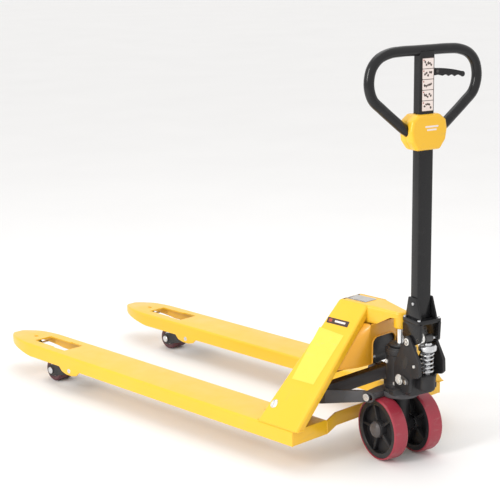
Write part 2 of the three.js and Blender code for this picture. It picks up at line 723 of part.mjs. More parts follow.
// The ram stands in the cylinder and its domed head fits under the head's boss.
function liftRam() {
  const low = 252;
  const profile = [
    [0, low], [RAM_R - 2, low], [RAM_R, low + 2], [RAM_R, RAM_TOP - 3], [RAM_R - 3, RAM_TOP], [0, RAM_TOP],
  ];
  return turned(profile, 24);
}

function handleShaft() {
  const head = 3;
  const shaft = rodX(8, -CHEEK_OUT - 1, CHEEK_OUT + 1, PIVOT_Y, PIVOT_Z, 16);
  const ends = [-1, 1].map((s) => {
    const x = s * (CHEEK_OUT + GAP + head / 2);
    return rodX(11, x - head / 2, x + head / 2, PIVOT_Y, PIVOT_Z, 16);
  });
  return join(shaft, ...ends);
}

// Plunger rod with the dished cap that holds the top of the spring.
function pumpPlunger() {
  const skirt = SPRING_TOP + GAP;
  const profile = [
    [0, 281], [9.5, 281], [9.5, skirt], [19, skirt], [27, skirt + 6], [27, CAP_TOP - 12],
    [22, CAP_TOP - 7], [13, CAP_TOP - 6], [12, CAP_TOP - GAP], [0, CAP_TOP - GAP],
  ];
  return turned(profile, 28).translate(0, PLUNGER_Y, 0);
}

// Compression spring with five open coils.
class Helix extends THREE.Curve {
  getPoint(t) {
    const turn = 2 * Math.PI * SPRING_COILS * t;
    const rise = SPRING_TOP - SPRING_BOTTOM - 2 * SPRING_WIRE;
    const radius = SPRING_R - SPRING_WIRE;
    return new THREE.Vector3(
      radius * Math.cos(turn),
      PLUNGER_Y + radius * Math.sin(turn),
      SPRING_BOTTOM + SPRING_WIRE + rise * t,
    );
  }
}
function pumpSpring() {
  const section = new THREE.Shape().absarc(0, 0, SPRING_WIRE - 0.1, 0, 2 * Math.PI);
  return new THREE.ExtrudeGeometry(section, {
    extrudePath: new Helix(), steps: 60, curveSegments: 3, bevelEnabled: false,
  });
}

// Lowering valve lever on the left cheek, worked by the pull rod.
const VALVE_Y = -96;
const VALVE_Z = 262;

function releaseLever() {
  const arm = linkShape(VALVE_Y, VALVE_Z, 9, VALVE_Y + 18, VALVE_Z + 8, 6);
  const plate = slabX(arm, -CHEEK_OUT - 6, -CHEEK_OUT - 1, 6);
  return cut(plate, rodX(4.3, -70, 0, VALVE_Y, VALVE_Z, 12));
}

function valveStem() {
  const stem = rodX(4, -CHEEK_OUT - 10, -CHEEK_OUT - GAP, VALVE_Y, VALVE_Z, 12);
  return join(stem, rodX(7, -CHEEK_OUT - 11, -CHEEK_OUT - 6.4, VALVE_Y, VALVE_Z, 6));
}

// ---- Steer wheels -------------------------------------------------------------
function tyre(x) {
  const half = WHEEL_WIDTH / 2;
  const profile = [
    [HUB_R + GAP, -half + 2], [WHEEL_R - 5, -half], [WHEEL_R - 1.5, 2 - half], [WHEEL_R, 6 - half],
    [WHEEL_R, half - 6], [WHEEL_R - 1.5, half - 2], [WHEEL_R - 5, half], [HUB_R + GAP, half - 2],
    [HUB_R + GAP, -half + 2],
  ];
  return turnedX(profile, 40).translate(x, 0, WHEEL_R);
}

// Cast hub: rim, central boss, thin web and five ribs on each face.
function wheelHub(x) {
  const half = WHEEL_WIDTH / 2 - 2;
  const ring = (inner, outer, depth) => turnedX([
    [inner, -depth], [outer, -depth], [outer, depth], [inner, depth], [inner, -depth],
  ], 40);
  const ribs = [];
  for (let i = 0; i < 5; i += 1) {
    const rib = block(-half + 7, half - 7, -3.5, 3.5, 20, RIM_IN + 2);
    ribs.push(rib.rotateX((2 * Math.PI * i) / 5 + 0.3));
  }
  const whole = join(
    ring(RIM_IN, HUB_R, half), ring(13.4, RIM_IN + 2, 4), ring(13.4, 27, half), ...ribs,
  );
  return cut(whole, rodX(13.4, -40, 40, 0, 0, 20)).translate(x, 0, WHEEL_R);
}

// Domed dust cap on the outer face of a wheel.
function wheelCap(side) {
  const face = WHEEL_WIDTH / 2 - 2 + GAP;
  const profile = [
    [0, face + 1], [14, face + 1], [14, face], [24, face], [24, face + 4], [19, face + 10],
    [10, face + 13], [0, face + 14],
  ];
  const cap = turnedX(profile, 28);
  return mirrored(cap, -side).translate(side * WHEEL_X, 0, WHEEL_R);
}

function steerAxle() {
  const reach = WHEEL_X + WHEEL_WIDTH / 2 - 2;
  return rodX(12.6, -reach, reach, 0, WHEEL_R, 20);
}

// ---- Handle ---------------------------------------------------------------------
const LUG_IN = 28.8;
const LUG_OUT = 38.4;
const ROLLER_PIN_Z = CAP_TOP + PLUNGER_ROLLER_R;

function lugShape() {
  const shape = new THREE.Shape();
  shape.moveTo(PIVOT_Y + 30, BASE_TOP - 10);
  shape.lineTo(PIVOT_Y + 36, BASE_TOP - 22);
  shape.lineTo(PIVOT_Y + 34, PIVOT_Z + 10);
  shape.lineTo(PIVOT_Y + 14, PIVOT_Z - 8);
  shape.absarc(PIVOT_Y, PIVOT_Z, 16, -0.18 * Math.PI, -0.7 * Math.PI, true);
  shape.absarc(PLUNGER_Y, ROLLER_PIN_Z, 11, -0.7 * Math.PI, -Math.PI, true);
  shape.lineTo(PLUNGER_Y - 14, BASE_TOP - 10);
  return shape;
}

// Tapered plate that stiffens the foot of the handle tube on one side.
function gussetShape() {
  return outline([
    [HANDLE_Y - 38, BASE_TOP - 1], [HANDLE_Y + 29, BASE_TOP - 1], [HANDLE_Y + 29, BASE_TOP + 8],
    [HANDLE_Y + 18, BASE_TOP + 62], [HANDLE_Y - 18, BASE_TOP + 62], [HANDLE_Y - 38, BASE_TOP + 8],
  ]);
}

function handleBase() {
  const plate = block(-42, 42, HANDLE_Y - 46, HANDLE_Y + 32, BASE_TOP - 12, BASE_TOP);
  const inner = TUBE_W / 2 + GAP;
  const gussets = [
    slabX(gussetShape(), -inner - 6, -inner),
    slabX(gussetShape(), inner, inner + 6),
  ];
  const lugs = [
    slabX(lugShape(), -LUG_OUT, -LUG_IN, 8),
    slabX(lugShape(), LUG_IN, LUG_OUT, 8),
  ];
  return cut(
    join(plate, ...gussets, ...lugs),
    rodX(8.3, -60, 60, PIVOT_Y, PIVOT_Z, 16),
    rodX(5.3, -60, 60, PLUNGER_Y, ROLLER_PIN_Z, 12),
    rodZ(7, 400, 500, 0, HANDLE_Y, 16),
  );
}

function plungerRoller() {
  const r = PLUNGER_ROLLER_R - GAP;
  const profile = [[5.4, -13], [r, -13], [r, 13], [5.4, 13], [5.4, -13]];
  return turnedX(profile, 24).translate(0, PLUNGER_Y, ROLLER_PIN_Z);
}

function plungerRollerPin() {
  return rodX(5, -LUG_OUT, LUG_OUT, PLUNGER_Y, ROLLER_PIN_Z, 12);
}

const LEVER_X = 36;
const LEVER_Z = 1160;

// Rectangular tube, open at both ends, with ears for the finger lever.
function handleTube() {
  const top = LOOP_TOP - LOOP_R - 2;
  const half = TUBE_W / 2;
  const [front, rear] = [HANDLE_Y - TUBE_D / 2, HANDLE_Y + TUBE_D / 2];
  const outer = block(-half, half, front, rear, BASE_TOP + GAP, top);
  const bore = block(
    TUBE_WALL - half, half - TUBE_WALL, front + TUBE_WALL, rear - TUBE_WALL, BASE_TOP - 5, top + 5,
  );
  const ear = (y) => block(half - 1, LEVER_X + 9, y - 2.5, y + 2.5, LEVER_Z - 12, LEVER_Z + 10);
  const slot = block(half - 5, half + 5, HANDLE_Y - 6, HANDLE_Y + 6, LEVER_Z - 16, LEVER_Z + 12);
  return cut(
    join(cut(outer, bore), ear(HANDLE_Y - 9.5), ear(HANDLE_Y + 9.5)),
    slot,
    rodX(LOOP_R + GAP, -60, 60, HANDLE_Y, LOOP_TOP - LOOP_R),
    rodY(3.3, -120, -60, LEVER_X, LEVER_Z, 10),
  );
}

// Centre line of the bent bar, from its left end in the cover round to its right end.
const LOOP_FOOT = [[34, 987], [62, 999], [104, 1031]]; // where the bar leaves the cover

function loopPath() {
  const half = LOOP_HALF - LOOP_R;
  const top = LOOP_TOP - LOOP_R;
  const rightSide = [
    ...LOOP_FOOT, [146, 1065], [176, 1092], [half - 1, 1122], [half, 1150],
    [half - 9, 1180], [half - 32, 1204], [half - 68, 1217], [80, top], [27, top],
  ];
  const points = rightSide.map(([x, z]) => new THREE.Vector3(x, HANDLE_Y, z));
  const leftSide = rightSide.map(([x, z]) => new THREE.Vector3(-x, HANDLE_Y, z)).reverse();
  return new THREE.CatmullRomCurve3([...points, ...leftSide], false, 'centripetal');
}

function handleLoop() {
  const section = new THREE.Shape().absarc(0, 0, LOOP_R, 0, 2 * Math.PI);
  return new THREE.ExtrudeGeometry(section, {
    extrudePath: loopPath(), steps: 48, curveSegments: 6, bevelEnabled: false,
  });
}

// One half shell of the cover over the foot of the loop. depth runs away from the joint.
function loopCover(facing) {
  const shape = outline([
    [-65, BOSS_Z + 4], [-60, BOSS_Z + 32], [-38, BOSS_Z + 49], [38, BOSS_Z + 49],
    [60, BOSS_Z + 32], [65, BOSS_Z + 4], [60, BOSS_Z - 26], [40, BOSS_Z - 53],
    [-40, BOSS_Z - 53], [-60, BOSS_Z - 26],
  ]);
  const joint = HANDLE_Y + facing * GAP;
  const face = HANDLE_Y + facing * 30;
  const shell = slabY(shape, Math.min(joint, face), Math.max(joint, face));
  const tube = block(
    -TUBE_W / 2 - GAP, TUBE_W / 2 + GAP,
    HANDLE_Y - TUBE_D / 2 - GAP, HANDLE_Y + TUBE_D / 2 + GAP, 900, 1080,
  );
  const bar = new THREE.Shape().absarc(0, 0, LOOP_R + 0.7, 0, 2 * Math.PI);
  const channel = (s) => {
    const lead = new THREE.CatmullRomCurve3([
      [26, 984], ...LOOP_FOOT,
    ].map(([x, z]) => new THREE.Vector3(s * x, HANDLE_Y, z)), false, 'centripetal');
    return new THREE.ExtrudeGeometry(bar, {
      extrudePath: lead, steps: 8, curveSegments: 6, bevelEnabled: false,
    });
  };
  return cut(shell, tube, channel(1), channel(-1));
}

// Pressed finger lever with a grip of three scallops and an eye at its end.
function fingerLever() {
  const tip = 144;
  const pitch = 22;
  const shape = new THREE.Shape();
  shape.moveTo(LEVER_X - 4, LEVER_Z + 8);
  shape.quadraticCurveTo(LEVER_X + 50, LEVER_Z + 6, tip - 10, LEVER_Z - 7);
  shape.absarc(tip - 8, LEVER_Z - 15, 8, Math.PI / 2, -Math.PI / 2, true);
  for (let i = 0; i < 3; i += 1) {
    const x = tip - 14 - i * pitch;
    shape.quadraticCurveTo(x - pitch / 2, LEVER_Z - 12 + i, x - pitch, LEVER_Z - 20 + i * 2);
  }
  shape.lineTo(LEVER_X + 12, LEVER_Z - 12);
  shape.absarc(LEVER_X, LEVER_Z - 4, 9, -0.4 * Math.PI, -1.05 * Math.PI, true);
  const plate = slabY(shape, HANDLE_Y - 4.5, HANDLE_Y + 4.5, 6);
  return cut(
    plate,
    rodY(3.3, -120, -60, LEVER_X, LEVER_Z, 10),
    rodY(3.5, -120, -60, tip - 8, LEVER_Z - 15, 12),
  );
}

function leverPin() {
  return rodY(3, HANDLE_Y - 14, HANDLE_Y + 14, LEVER_X, LEVER_Z, 10);
}

// Pull rod inside the tube, from the finger lever to the valve.
function pullRod() {
  const rod = rodZ(4, BASE_TOP - 20, LEVER_Z - 20, 0, HANDLE_Y, 12);
  const foot = rodZ(6, BASE_TOP - 26, BASE_TOP - 19, 0, HANDLE_Y, 12);
  const head = block(-7, 12, HANDLE_Y - 4, HANDLE_Y + 4, LEVER_Z - 34, LEVER_Z - 19);
  return join(rod, foot, head);
}

function pictogramStrip() {
  const front = HANDLE_Y - TUBE_D / 2 - GAP;
  return block(-21, 21, front - 0.8, front, 1050, 1200);
}

function handle() {
  const group = new THREE.Group();
  group.add(named('handle_base', handleBase(), finish.black));
  group.add(named('plunger_roller', plungerRoller(), finish.zinc));
  group.add(named('plunger_roller_pin', plungerRollerPin(), finish.zinc));
  group.add(named('handle_tube', handleTube(), finish.black));
  group.add(named('handle_loop', handleLoop(), finish.black));
  group.add(named('loop_cover_front', loopCover(-1), finish.yellow));
  group.add(named('loop_cover_rear', loopCover(1), finish.yellow));
  group.add(named('finger_lever', fingerLever(), finish.black));
  group.add(named('lever_pin', leverPin(), finish.zinc));
  group.add(named('pull_rod', pullRod(), finish.zinc));
  group.add(named('pictogram_strip', pictogramStrip(), finish.label));
  return group;
}

function pump() {
  const group = new THREE.Group();
  group.add(named('pump_body', pumpBody(), finish.casting));
  group.add(named('pump_gland', pumpGland(), finish.casting));
  group.add(named('handle_shaft', handleShaft(), finish.zinc));
  group.add(named('pump_plunger', pumpPlunger(), finish.zinc));
  group.add(named('pump_spring', pumpSpring(), finish.zinc));
  group.add(named('release_lever', releaseLever(), finish.steel));
  group.add(named('valve_stem', valveStem(), finish.zinc));
  group.add(named('steer_axle', steerAxle(), finish.steel));
  for (const [word, side] of SIDES) {
    group.add(named(`wheel_hub_${word}`, wheelHub(side * WHEEL_X), finish.casting));
    group.add(named(`tyre_${word}`, tyre(side * WHEEL_X), finish.tyre));
    group.add(named(`wheel_cap_${word}`, wheelCap(side), finish.plastic));
  }
  return group;
}

// ---- Assembly ---------------------------------------------------------------------
const steered = new THREE.Group();
steered.add(pump(), handle());
steered.rotation.z = STEER;

const truck = new THREE.Group();
truck.add(named('thrust_bracket', thrustBracket(), finish.casting));
truck.add(named('thrust_bearing', thrustBearing(), finish.steel));
truck.add(named('lift_ram', liftRam(), finish.chrome));
truck.add(chassis(), linkage(), steered);

truck.updateMatrixWorld(true);
const room = new THREE.Box3().setFromObject(truck, true);
truck.position.y = -(room.min.y + room.max.y) / 2;

export default truck;
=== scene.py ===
"""Looks for the hand pallet jack: detailed pieces, materials, floor, light and camera."""
import json
import math
import random

import bmesh
import bpy
from mathutils import Matrix, Vector


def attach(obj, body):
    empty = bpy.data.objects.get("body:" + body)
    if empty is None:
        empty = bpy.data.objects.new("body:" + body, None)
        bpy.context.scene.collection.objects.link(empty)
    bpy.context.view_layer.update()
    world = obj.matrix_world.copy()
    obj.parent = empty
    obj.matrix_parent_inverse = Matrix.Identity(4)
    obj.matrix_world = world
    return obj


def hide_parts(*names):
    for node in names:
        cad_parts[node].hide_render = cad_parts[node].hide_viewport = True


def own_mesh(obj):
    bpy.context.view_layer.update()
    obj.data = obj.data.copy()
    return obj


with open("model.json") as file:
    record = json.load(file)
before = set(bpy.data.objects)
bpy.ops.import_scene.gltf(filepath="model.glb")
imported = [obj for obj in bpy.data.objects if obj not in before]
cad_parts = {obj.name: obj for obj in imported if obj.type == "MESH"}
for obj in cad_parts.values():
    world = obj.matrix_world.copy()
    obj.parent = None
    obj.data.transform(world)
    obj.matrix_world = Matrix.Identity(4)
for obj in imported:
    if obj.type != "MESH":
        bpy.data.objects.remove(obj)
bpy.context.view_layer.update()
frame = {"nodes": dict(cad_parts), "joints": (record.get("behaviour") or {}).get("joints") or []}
JOINTS = {joint["name"]: joint for joint in frame["joints"]}
MM = 0.001
TAU = 2 * math.pi
rng = random.Random(7)

# The steered unit stands turned about the steering axis; its parts are built in
# their own frame, with X along the axle, and this matrix puts them in place.
STEER_AT = Vector(JOINTS["steer"]["pos_m"])
AXLE_DIR = Vector(JOINTS["handle_tilt"]["axis"])
STEER_ANGLE = math.atan2(AXLE_DIR.y, AXLE_DIR.x)
STEERED = Matrix.Translation((STEER_AT.x, STEER_AT.y, 0)) @ Matrix.Rotation(STEER_ANGLE, 4, "Z")
ALONG_X = Matrix.Rotation(math.pi / 2, 4, "Y")
TO_OPERATOR = Matrix.Rotation(math.pi / 2, 4, "X")
TO_TIPS = Matrix.Rotation(-math.pi / 2, 4, "X")
OUTWARD = {sign: Matrix.Rotation(sign * math.pi / 2, 4, "Y") for sign in (-1, 1)}
SIDES = (("left", -1), ("right", 1))


# ---------------------------------------------------------------- materials
class Shader:
    """A node material with short helpers for its texture network."""

    def __init__(self, name):
        self.material = bpy.data.materials.new(name)
        self.material.use_nodes = True
        self.tree = self.material.node_tree
        self.bsdf = self.tree.nodes["Principled BSDF"]
        self.place = self.node("ShaderNodeTexCoord").outputs["Object"]

    def node(self, kind, **settings):
        made = self.tree.nodes.new(kind)
        for key, value in settings.items():
            setattr(made, key, value)
        return made

    def link(self, source, target):
        self.tree.links.new(source, target)

    def feed(self, socket, value):
        if isinstance(value, bpy.types.NodeSocket):
            self.link(value, socket)
        elif isinstance(value, tuple):
            socket.default_value = (*value, 1.0)
        else:
            socket.default_value = value

    def stretched(self, scale):
        mapping = self.node("ShaderNodeMapping")
        self.link(self.place, mapping.inputs["Vector"])
        mapping.inputs["Scale"].default_value = scale
        return mapping.outputs["Vector"]

    def noise(self, scale, detail=4.0, rough=0.5, stretch=None):
        made = self.node("ShaderNodeTexNoise")
        self.link(self.stretched(stretch) if stretch else self.place, made.inputs["Vector"])
        made.inputs["Scale"].default_value = scale
        made.inputs["Detail"].default_value = detail
        made.inputs["Roughness"].default_value = rough
        return made.outputs["Fac"]

    def cells(self, scale):
        made = self.node("ShaderNodeTexVoronoi")
        self.link(self.place, made.inputs["Vector"])
        made.inputs["Scale"].default_value = scale
        return made.outputs["Distance"]

    def remap(self, value, low, high, to_low=0.0, to_high=1.0):
        made = self.node("ShaderNodeMapRange", clamp=True)
        self.feed(made.inputs["Value"], value)
        made.inputs["From Min"].default_value = low
        made.inputs["From Max"].default_value = high
        made.inputs["To Min"].default_value = to_low
        made.inputs["To Max"].default_value = to_high
        return made.outputs["Result"]

    def math(self, operation, a, b=0.0):
        made = self.node("ShaderNodeMath", operation=operation)
        self.feed(made.inputs[0], a)
        self.feed(made.inputs[1], b)
        return made.outputs[0]

    def mix(self, amount, a, b):
        made = self.node("ShaderNodeMix", data_type="RGBA")
        self.feed(made.inputs["Factor"], amount)
        self.feed(made.inputs["A"], a)
        self.feed(made.inputs["B"], b)
        return made.outputs["Result"]

    def edges(self, radius):
        """White where the surface turns a corner tighter than the radius."""
        soft = self.node("ShaderNodeBevel", samples=4)
        soft.inputs["Radius"].default_value = radius
        flat = self.node("ShaderNodeNewGeometry")
        dot = self.node("ShaderNodeVectorMath", operation="DOT_PRODUCT")
        self.link(soft.outputs["Normal"], dot.inputs[0])
        self.link(flat.outputs["Normal"], dot.inputs[1])
        return self.math("SUBTRACT", 1.0, dot.outputs["Value"])

    def bump(self, *layers):
        """Each layer is (height, distance in metres, strength)."""
        normal = None
        for height, distance, strength in layers:
            made = self.node("ShaderNodeBump")
            made.inputs["Distance"].default_value = distance
            made.inputs["Strength"].default_value = strength
            self.link(height, made.inputs["Height"])
            if normal:
                self.link(normal, made.inputs["Normal"])
            normal = made.outputs["Normal"]
        self.link(normal, self.bsdf.inputs["Normal"])

    def finish(self, color, roughness, metallic=0.0, **fixed):
        self.feed(self.bsdf.inputs["Base Color"], color)
        self.feed(self.bsdf.inputs["Roughness"], roughness)
        self.feed(self.bsdf.inputs["Metallic"], metallic)
        for key, value in fixed.items():
            self.bsdf.inputs[key.replace("_", " ")].default_value = value
        return self.material


def yellow_paint(name, deep, pale):
    s = Shader(name)
    tone = s.mix(s.noise(2.2, 3), deep, pale)
    dust = s.remap(s.noise(9, 6, 0.6), 0.56, 0.78, 0.0, 0.16)
    tone = s.mix(dust, tone, (0.62, 0.4, 0.11))
    rub = s.remap(s.noise(46, 7, 0.62, (0.25, 1, 1)), 0.62, 0.72, 0.0, 0.35)
    tone = s.mix(rub, tone, (0.7, 0.42, 0.06))
    worn = s.math("MULTIPLY", s.remap(s.edges(0.0016), 0.1, 0.35), s.remap(s.noise(60, 5), 0.5, 0.62))
    tone = s.mix(s.math("MULTIPLY", worn, 0.75), tone, (0.33, 0.2, 0.06))
    rough = s.remap(s.noise(14, 5), 0.3, 0.7, 0.3, 0.46)
    s.bump((s.noise(420, 2), 0.0004, 0.18), (s.noise(7, 2), 0.004, 0.1))
    return s.finish(tone, rough, Coat_Weight=0.25, Coat_Roughness=0.12)


def gloss_black():
    s = Shader("black_gloss_paint")
    tone = s.mix(s.noise(5, 4), (0.006, 0.006, 0.007), (0.014, 0.014, 0.015))
    dust = s.remap(s.noise(30, 6, 0.6), 0.55, 0.8, 0.0, 0.16)
    tone = s.mix(dust, tone, (0.07, 0.065, 0.06))
    rough = s.remap(s.noise(22, 6, 0.6), 0.3, 0.72, 0.16, 0.3)
    s.bump((s.noise(380, 2), 0.0004, 0.12))
    return s.finish(tone, rough, Specular_IOR_Level=0.3, Coat_Weight=0.08, Coat_Roughness=0.06)


def cast_black(name="black_casting", deep=(0.008, 0.008, 0.009), pale=(0.026, 0.025, 0.027)):
    s = Shader(name)
    tone = s.mix(s.noise(12, 6), deep, pale)
    worn = s.math("MULTIPLY", s.remap(s.edges(0.002), 0.08, 0.35), s.remap(s.noise(70, 5), 0.42, 0.6))
    tone = s.mix(s.math("MULTIPLY", worn, 0.5), tone, (0.16, 0.155, 0.15))
    rough = s.remap(s.noise(26, 6, 0.6), 0.3, 0.7, 0.32, 0.6)
    s.bump((s.noise(310, 5, 0.6), 0.0006, 0.5), (s.noise(40, 3), 0.0015, 0.15))
    return s.finish(tone, rough, Specular_IOR_Level=0.4)


def zinc_plate(name="zinc_plate", tint=(0.74, 0.75, 0.77), metallic=1.0):
    s = Shader(name)
    dull = tuple(0.72 * channel for channel in tint)
    tone = s.mix(s.remap(s.noise(60, 5, 0.6), 0.35, 0.7), tint, dull)
    rough = s.remap(s.noise(110, 5, 0.6), 0.3, 0.7, 0.2, 0.4)
    s.bump((s.noise(260, 3), 0.0003, 0.2))
    return s.finish(tone, rough, metallic)


def chrome_plate():
    s = Shader("hard_chrome")
    rings = s.noise(30, 3, 0.5, (1, 1, 40))
    tone = s.mix(rings, (0.86, 0.87, 0.88), (0.95, 0.95, 0.95))
    s.bump((rings, 0.0001, 0.08))
    return s.finish(tone, s.remap(rings, 0.3, 0.7, 0.04, 0.14), 1.0)


def dark_steel():
    s = Shader("dark_steel")
    tone = s.mix(s.noise(18, 6), (0.06, 0.06, 0.063), (0.14, 0.135, 0.13))
    rust = s.remap(s.noise(35, 7, 0.65), 0.6, 0.75, 0.0, 0.35)
    tone = s.mix(rust, tone, (0.12, 0.06, 0.03))
    s.bump((s.noise(150, 4, 0.55, (1, 0.1, 1)), 0.0004, 0.3))
    return s.finish(tone, s.remap(s.noise(50, 5), 0.3, 0.7, 0.35, 0.6), 0.7)


def polyurethane(name, deep, pale):
    s = Shader(name)
    tone = s.mix(s.noise(16, 5), deep, pale)
    scuff = s.remap(s.noise(85, 7, 0.65, (0.3, 1, 1)), 0.56, 0.72, 0.0, 0.3)
    tone = s.mix(scuff, tone, (0.3, 0.17, 0.16))
    grit = s.remap(s.cells(160), 0.0, 0.16, 0.25, 0.0)
    tone = s.mix(grit, tone, (0.05, 0.02, 0.02))
    rough = s.remap(s.noise(40, 6, 0.6), 0.3, 0.7, 0.34, 0.55)
    s.bump((s.noise(240, 4), 0.0004, 0.25), (s.noise(30, 3), 0.001, 0.12))
    return s.finish(tone, rough, Coat_Weight=0.12, Coat_Roughness=0.3)


def moulded_black():
    s = Shader("moulded_black")
    tone = s.mix(s.noise(25, 5), (0.014, 0.014, 0.015), (0.036, 0.035, 0.034))
    s.bump((s.noise(900, 2), 0.0003, 0.35), (s.cells(700), 0.0002, 0.2))
    return s.finish(tone, s.remap(s.noise(60, 4), 0.3, 0.7, 0.4, 0.58))


def cap_grey():
    s = Shader("hub_cap_plastic")
    tone = s.mix(s.noise(30, 5), (0.055, 0.05, 0.05), (0.1, 0.09, 0.09))
    s.bump((s.noise(500, 3), 0.0003, 0.25))
    return s.finish(tone, s.remap(s.noise(45, 5), 0.3, 0.7, 0.3, 0.5))


def printed_film(name, tone_a, tone_b):
    s = Shader(name)
    tone = s.mix(s.noise(35, 6, 0.6), tone_a, tone_b)
    scratch = s.remap(s.noise(120, 7, 0.7, (1, 0.2, 0.2)), 0.6, 0.72, 0.0, 0.3)
    tone = s.mix(scratch, tone, (0.4, 0.38, 0.36))
    s.bump((s.noise(200, 2), 0.0002, 0.2))
    return s.finish(tone, s.remap(s.noise(30, 4), 0.3, 0.7, 0.3, 0.5))


YELLOW = yellow_paint("yellow_powder_coat", (0.83, 0.455, 0.012), (0.9, 0.53, 0.022))
# The same yellow paint darkened to amber: painted shade for the bulkhead sheets and hem, which sit under the
# head.
YELLOW_PAINTED_SHADE = yellow_paint("yellow_paint_painted_shade", (0.6, 0.265, 0.01), (0.72, 0.35, 0.014))
GLOSS_BLACK = gloss_black()
CASTING = cast_black()
# The black casting lightened to grey: painted light where the rocker yoke and thrust bracket catch the light.
LIT_CASTING = cast_black("black_casting_painted_light", (0.05, 0.05, 0.054), (0.09, 0.088, 0.092))
ZINC = zinc_plate()
PALE_ZINC = zinc_plate("pale_zinc", (0.82, 0.81, 0.78), 0.35)
CHROME = chrome_plate()
STEEL = dark_steel()
TYRE = polyurethane("crimson_polyurethane", (0.27, 0.018, 0.035), (0.36, 0.03, 0.052))
# The crimson polyurethane darkened to near black: painted shade for the load roller treads, which sit under
# the forks.
ROLLER = polyurethane("crimson_polyurethane_painted_shade", (0.07, 0.012, 0.02), (0.1, 0.02, 0.03))
MOULDED = moulded_black()
CAP_GREY = cap_grey()
FILM_PALE = printed_film("film_pale", (0.78, 0.66, 0.62), (0.86, 0.78, 0.74))
FILM_GREY = printed_film("film_grey", (0.32, 0.31, 0.3), (0.5, 0.49, 0.47))
FILM_DARK = printed_film("film_dark", (0.035, 0.02, 0.015), (0.07, 0.04, 0.03))
FILM_YELLOW = printed_film("film_yellow", (0.86, 0.6, 0.06), (0.9, 0.64, 0.085))
FILM_RED = printed_film("film_red", (0.34, 0.05, 0.035), (0.42, 0.08, 0.05))


# ------------------------------------------------------------- shape helpers
# Shapes are drawn in millimetres from the steering axis at ground level, with
# +Y towards the fork tips, and each place matrix brings them to the row frame.
TRUCK = Matrix.Translation((0, STEER_AT.y, 0)) @ Matrix.Scale(MM, 4)
STEERED_MM = STEERED @ Matrix.Scale(MM, 4)


def fillet(points, steps=4):
    """Rounds an outline's corners. A point is (a, b) or (a, b, radius)."""
    result = []
    count = len(points)
    for i, point in enumerate(points):
        here = Vector(point[:2])
        radius = point[2] if len(point) > 2 else 0
        if not radius:
            result.append(here)
            continue
        to_last = Vector(points[i - 1][:2]) - here
        to_next = Vector(points[(i + 1) % count][:2]) - here
        angle = to_last.angle(to_next)
        reach = min(radius / math.tan(angle / 2), to_last.length * 0.49, to_next.length * 0.49)
        start = here + to_last.normalized() * reach
        end = here + to_next.normalized() * reach
        true_radius = reach * math.tan(angle / 2)
        bisector = (to_last.normalized() + to_next.normalized()).normalized()
        centre = here + bisector * math.hypot(reach, true_radius)
        first = start - centre
        sweep = first.angle_signed(end - centre)
        for k in range(steps + 1):
            turn = -sweep * k / steps
            cos, sin = math.cos(turn), math.sin(turn)
            result.append(centre + Vector((first.x * cos - first.y * sin, first.x * sin + first.y * cos)))
    return result


def rounded(a0, a1, b0, b1, radius, steps=4):
    """A rectangle with rounded corners."""
    return fillet([(a0, b0, radius), (a1, b0, radius), (a1, b1, radius), (a0, b1, radius)], steps)


def both_ends(half):
    """Adds the mirror image of the first half of a turned profile."""
    return half + [(p[0], -p[1], *p[2:]) for p in reversed(half)]


def area(points):
    total = 0
    for i, point in enumerate(points):
        total += points[i - 1].x * point.y - point.x * points[i - 1].y
    return total / 2


def inset(points, distance):
    """Moves an anticlockwise outline inward by the distance, with mitred corners."""
    moved = []
    count = len(points)
    for i, here in enumerate(points):
        before = (here - points[i - 1]).normalized()
        after = (points[(i + 1) % count] - here).normalized()
        n0 = Vector((-before.y, before.x))
        n1 = Vector((-after.y, after.x))
        bend = max(1 + n0.dot(n1), 0.25)
        moved.append(here + (n0 + n1) / bend * distance)
    return moved


def arc(centre, radius, start, end, steps=12):
    turns = [start + (end - start) * k / steps for k in range(steps + 1)]
    return [(centre[0] + radius * math.cos(t), centre[1] + radius * math.sin(t)) for t in turns]


def oval(a, b, half_a, half_b, tilt=0.0, steps=28):
    cos, sin = math.cos(tilt), math.sin(tilt)
    turns = [TAU * k / steps for k in range(steps)]
    return [(a + half_a * math.cos(t) * cos - half_b * math.sin(t) * sin,
             b + half_a * math.cos(t) * sin + half_b * math.sin(t) * cos) for t in turns]


def link_outline(a0, b0, r0, a1, b1, r1):
    """Two round ends joined by tangents."""
    heading = math.atan2(b1 - b0, a1 - a0)
    spread = math.acos((r0 - r1) / math.hypot(a1 - a0, b1 - b0))
    near = arc((a0, b0), r0, heading + spread, heading - spread + TAU)
    far = arc((a1, b1), r1, heading - spread, heading + spread)
    return near + far


def smooth_path(points, per_span=6):
    """Centripetal Catmull-Rom curve through the points."""
    pts = [Vector(p) for p in points]
    pts = [2 * pts[0] - pts[1], *pts, 2 * pts[-1] - pts[-2]]
    result = []
    for i in range(1, len(pts) - 2):
        p = pts[i - 1:i + 3]
        t = [0.0]
        for k in range(3):
            t.append(t[-1] + math.sqrt((p[k + 1] - p[k]).length))
        for k in range(per_span):
            u = t[1] + (t[2] - t[1]) * k / per_span
            a = [p[j] * (t[j + 1] - u) / (t[j + 1] - t[j]) + p[j + 1] * (u - t[j]) / (t[j + 1] - t[j])
                 for j in range(3)]
            b = [a[j] * (t[j + 2] - u) / (t[j + 2] - t[j]) + a[j + 1] * (u - t[j]) / (t[j + 2] - t[j])
                 for j in range(2)]
            result.append(b[0] * (t[2] - u) / (t[2] - t[1]) + b[1] * (u - t[1]) / (t[2] - t[1]))
    result.append(pts[-2])
    return result


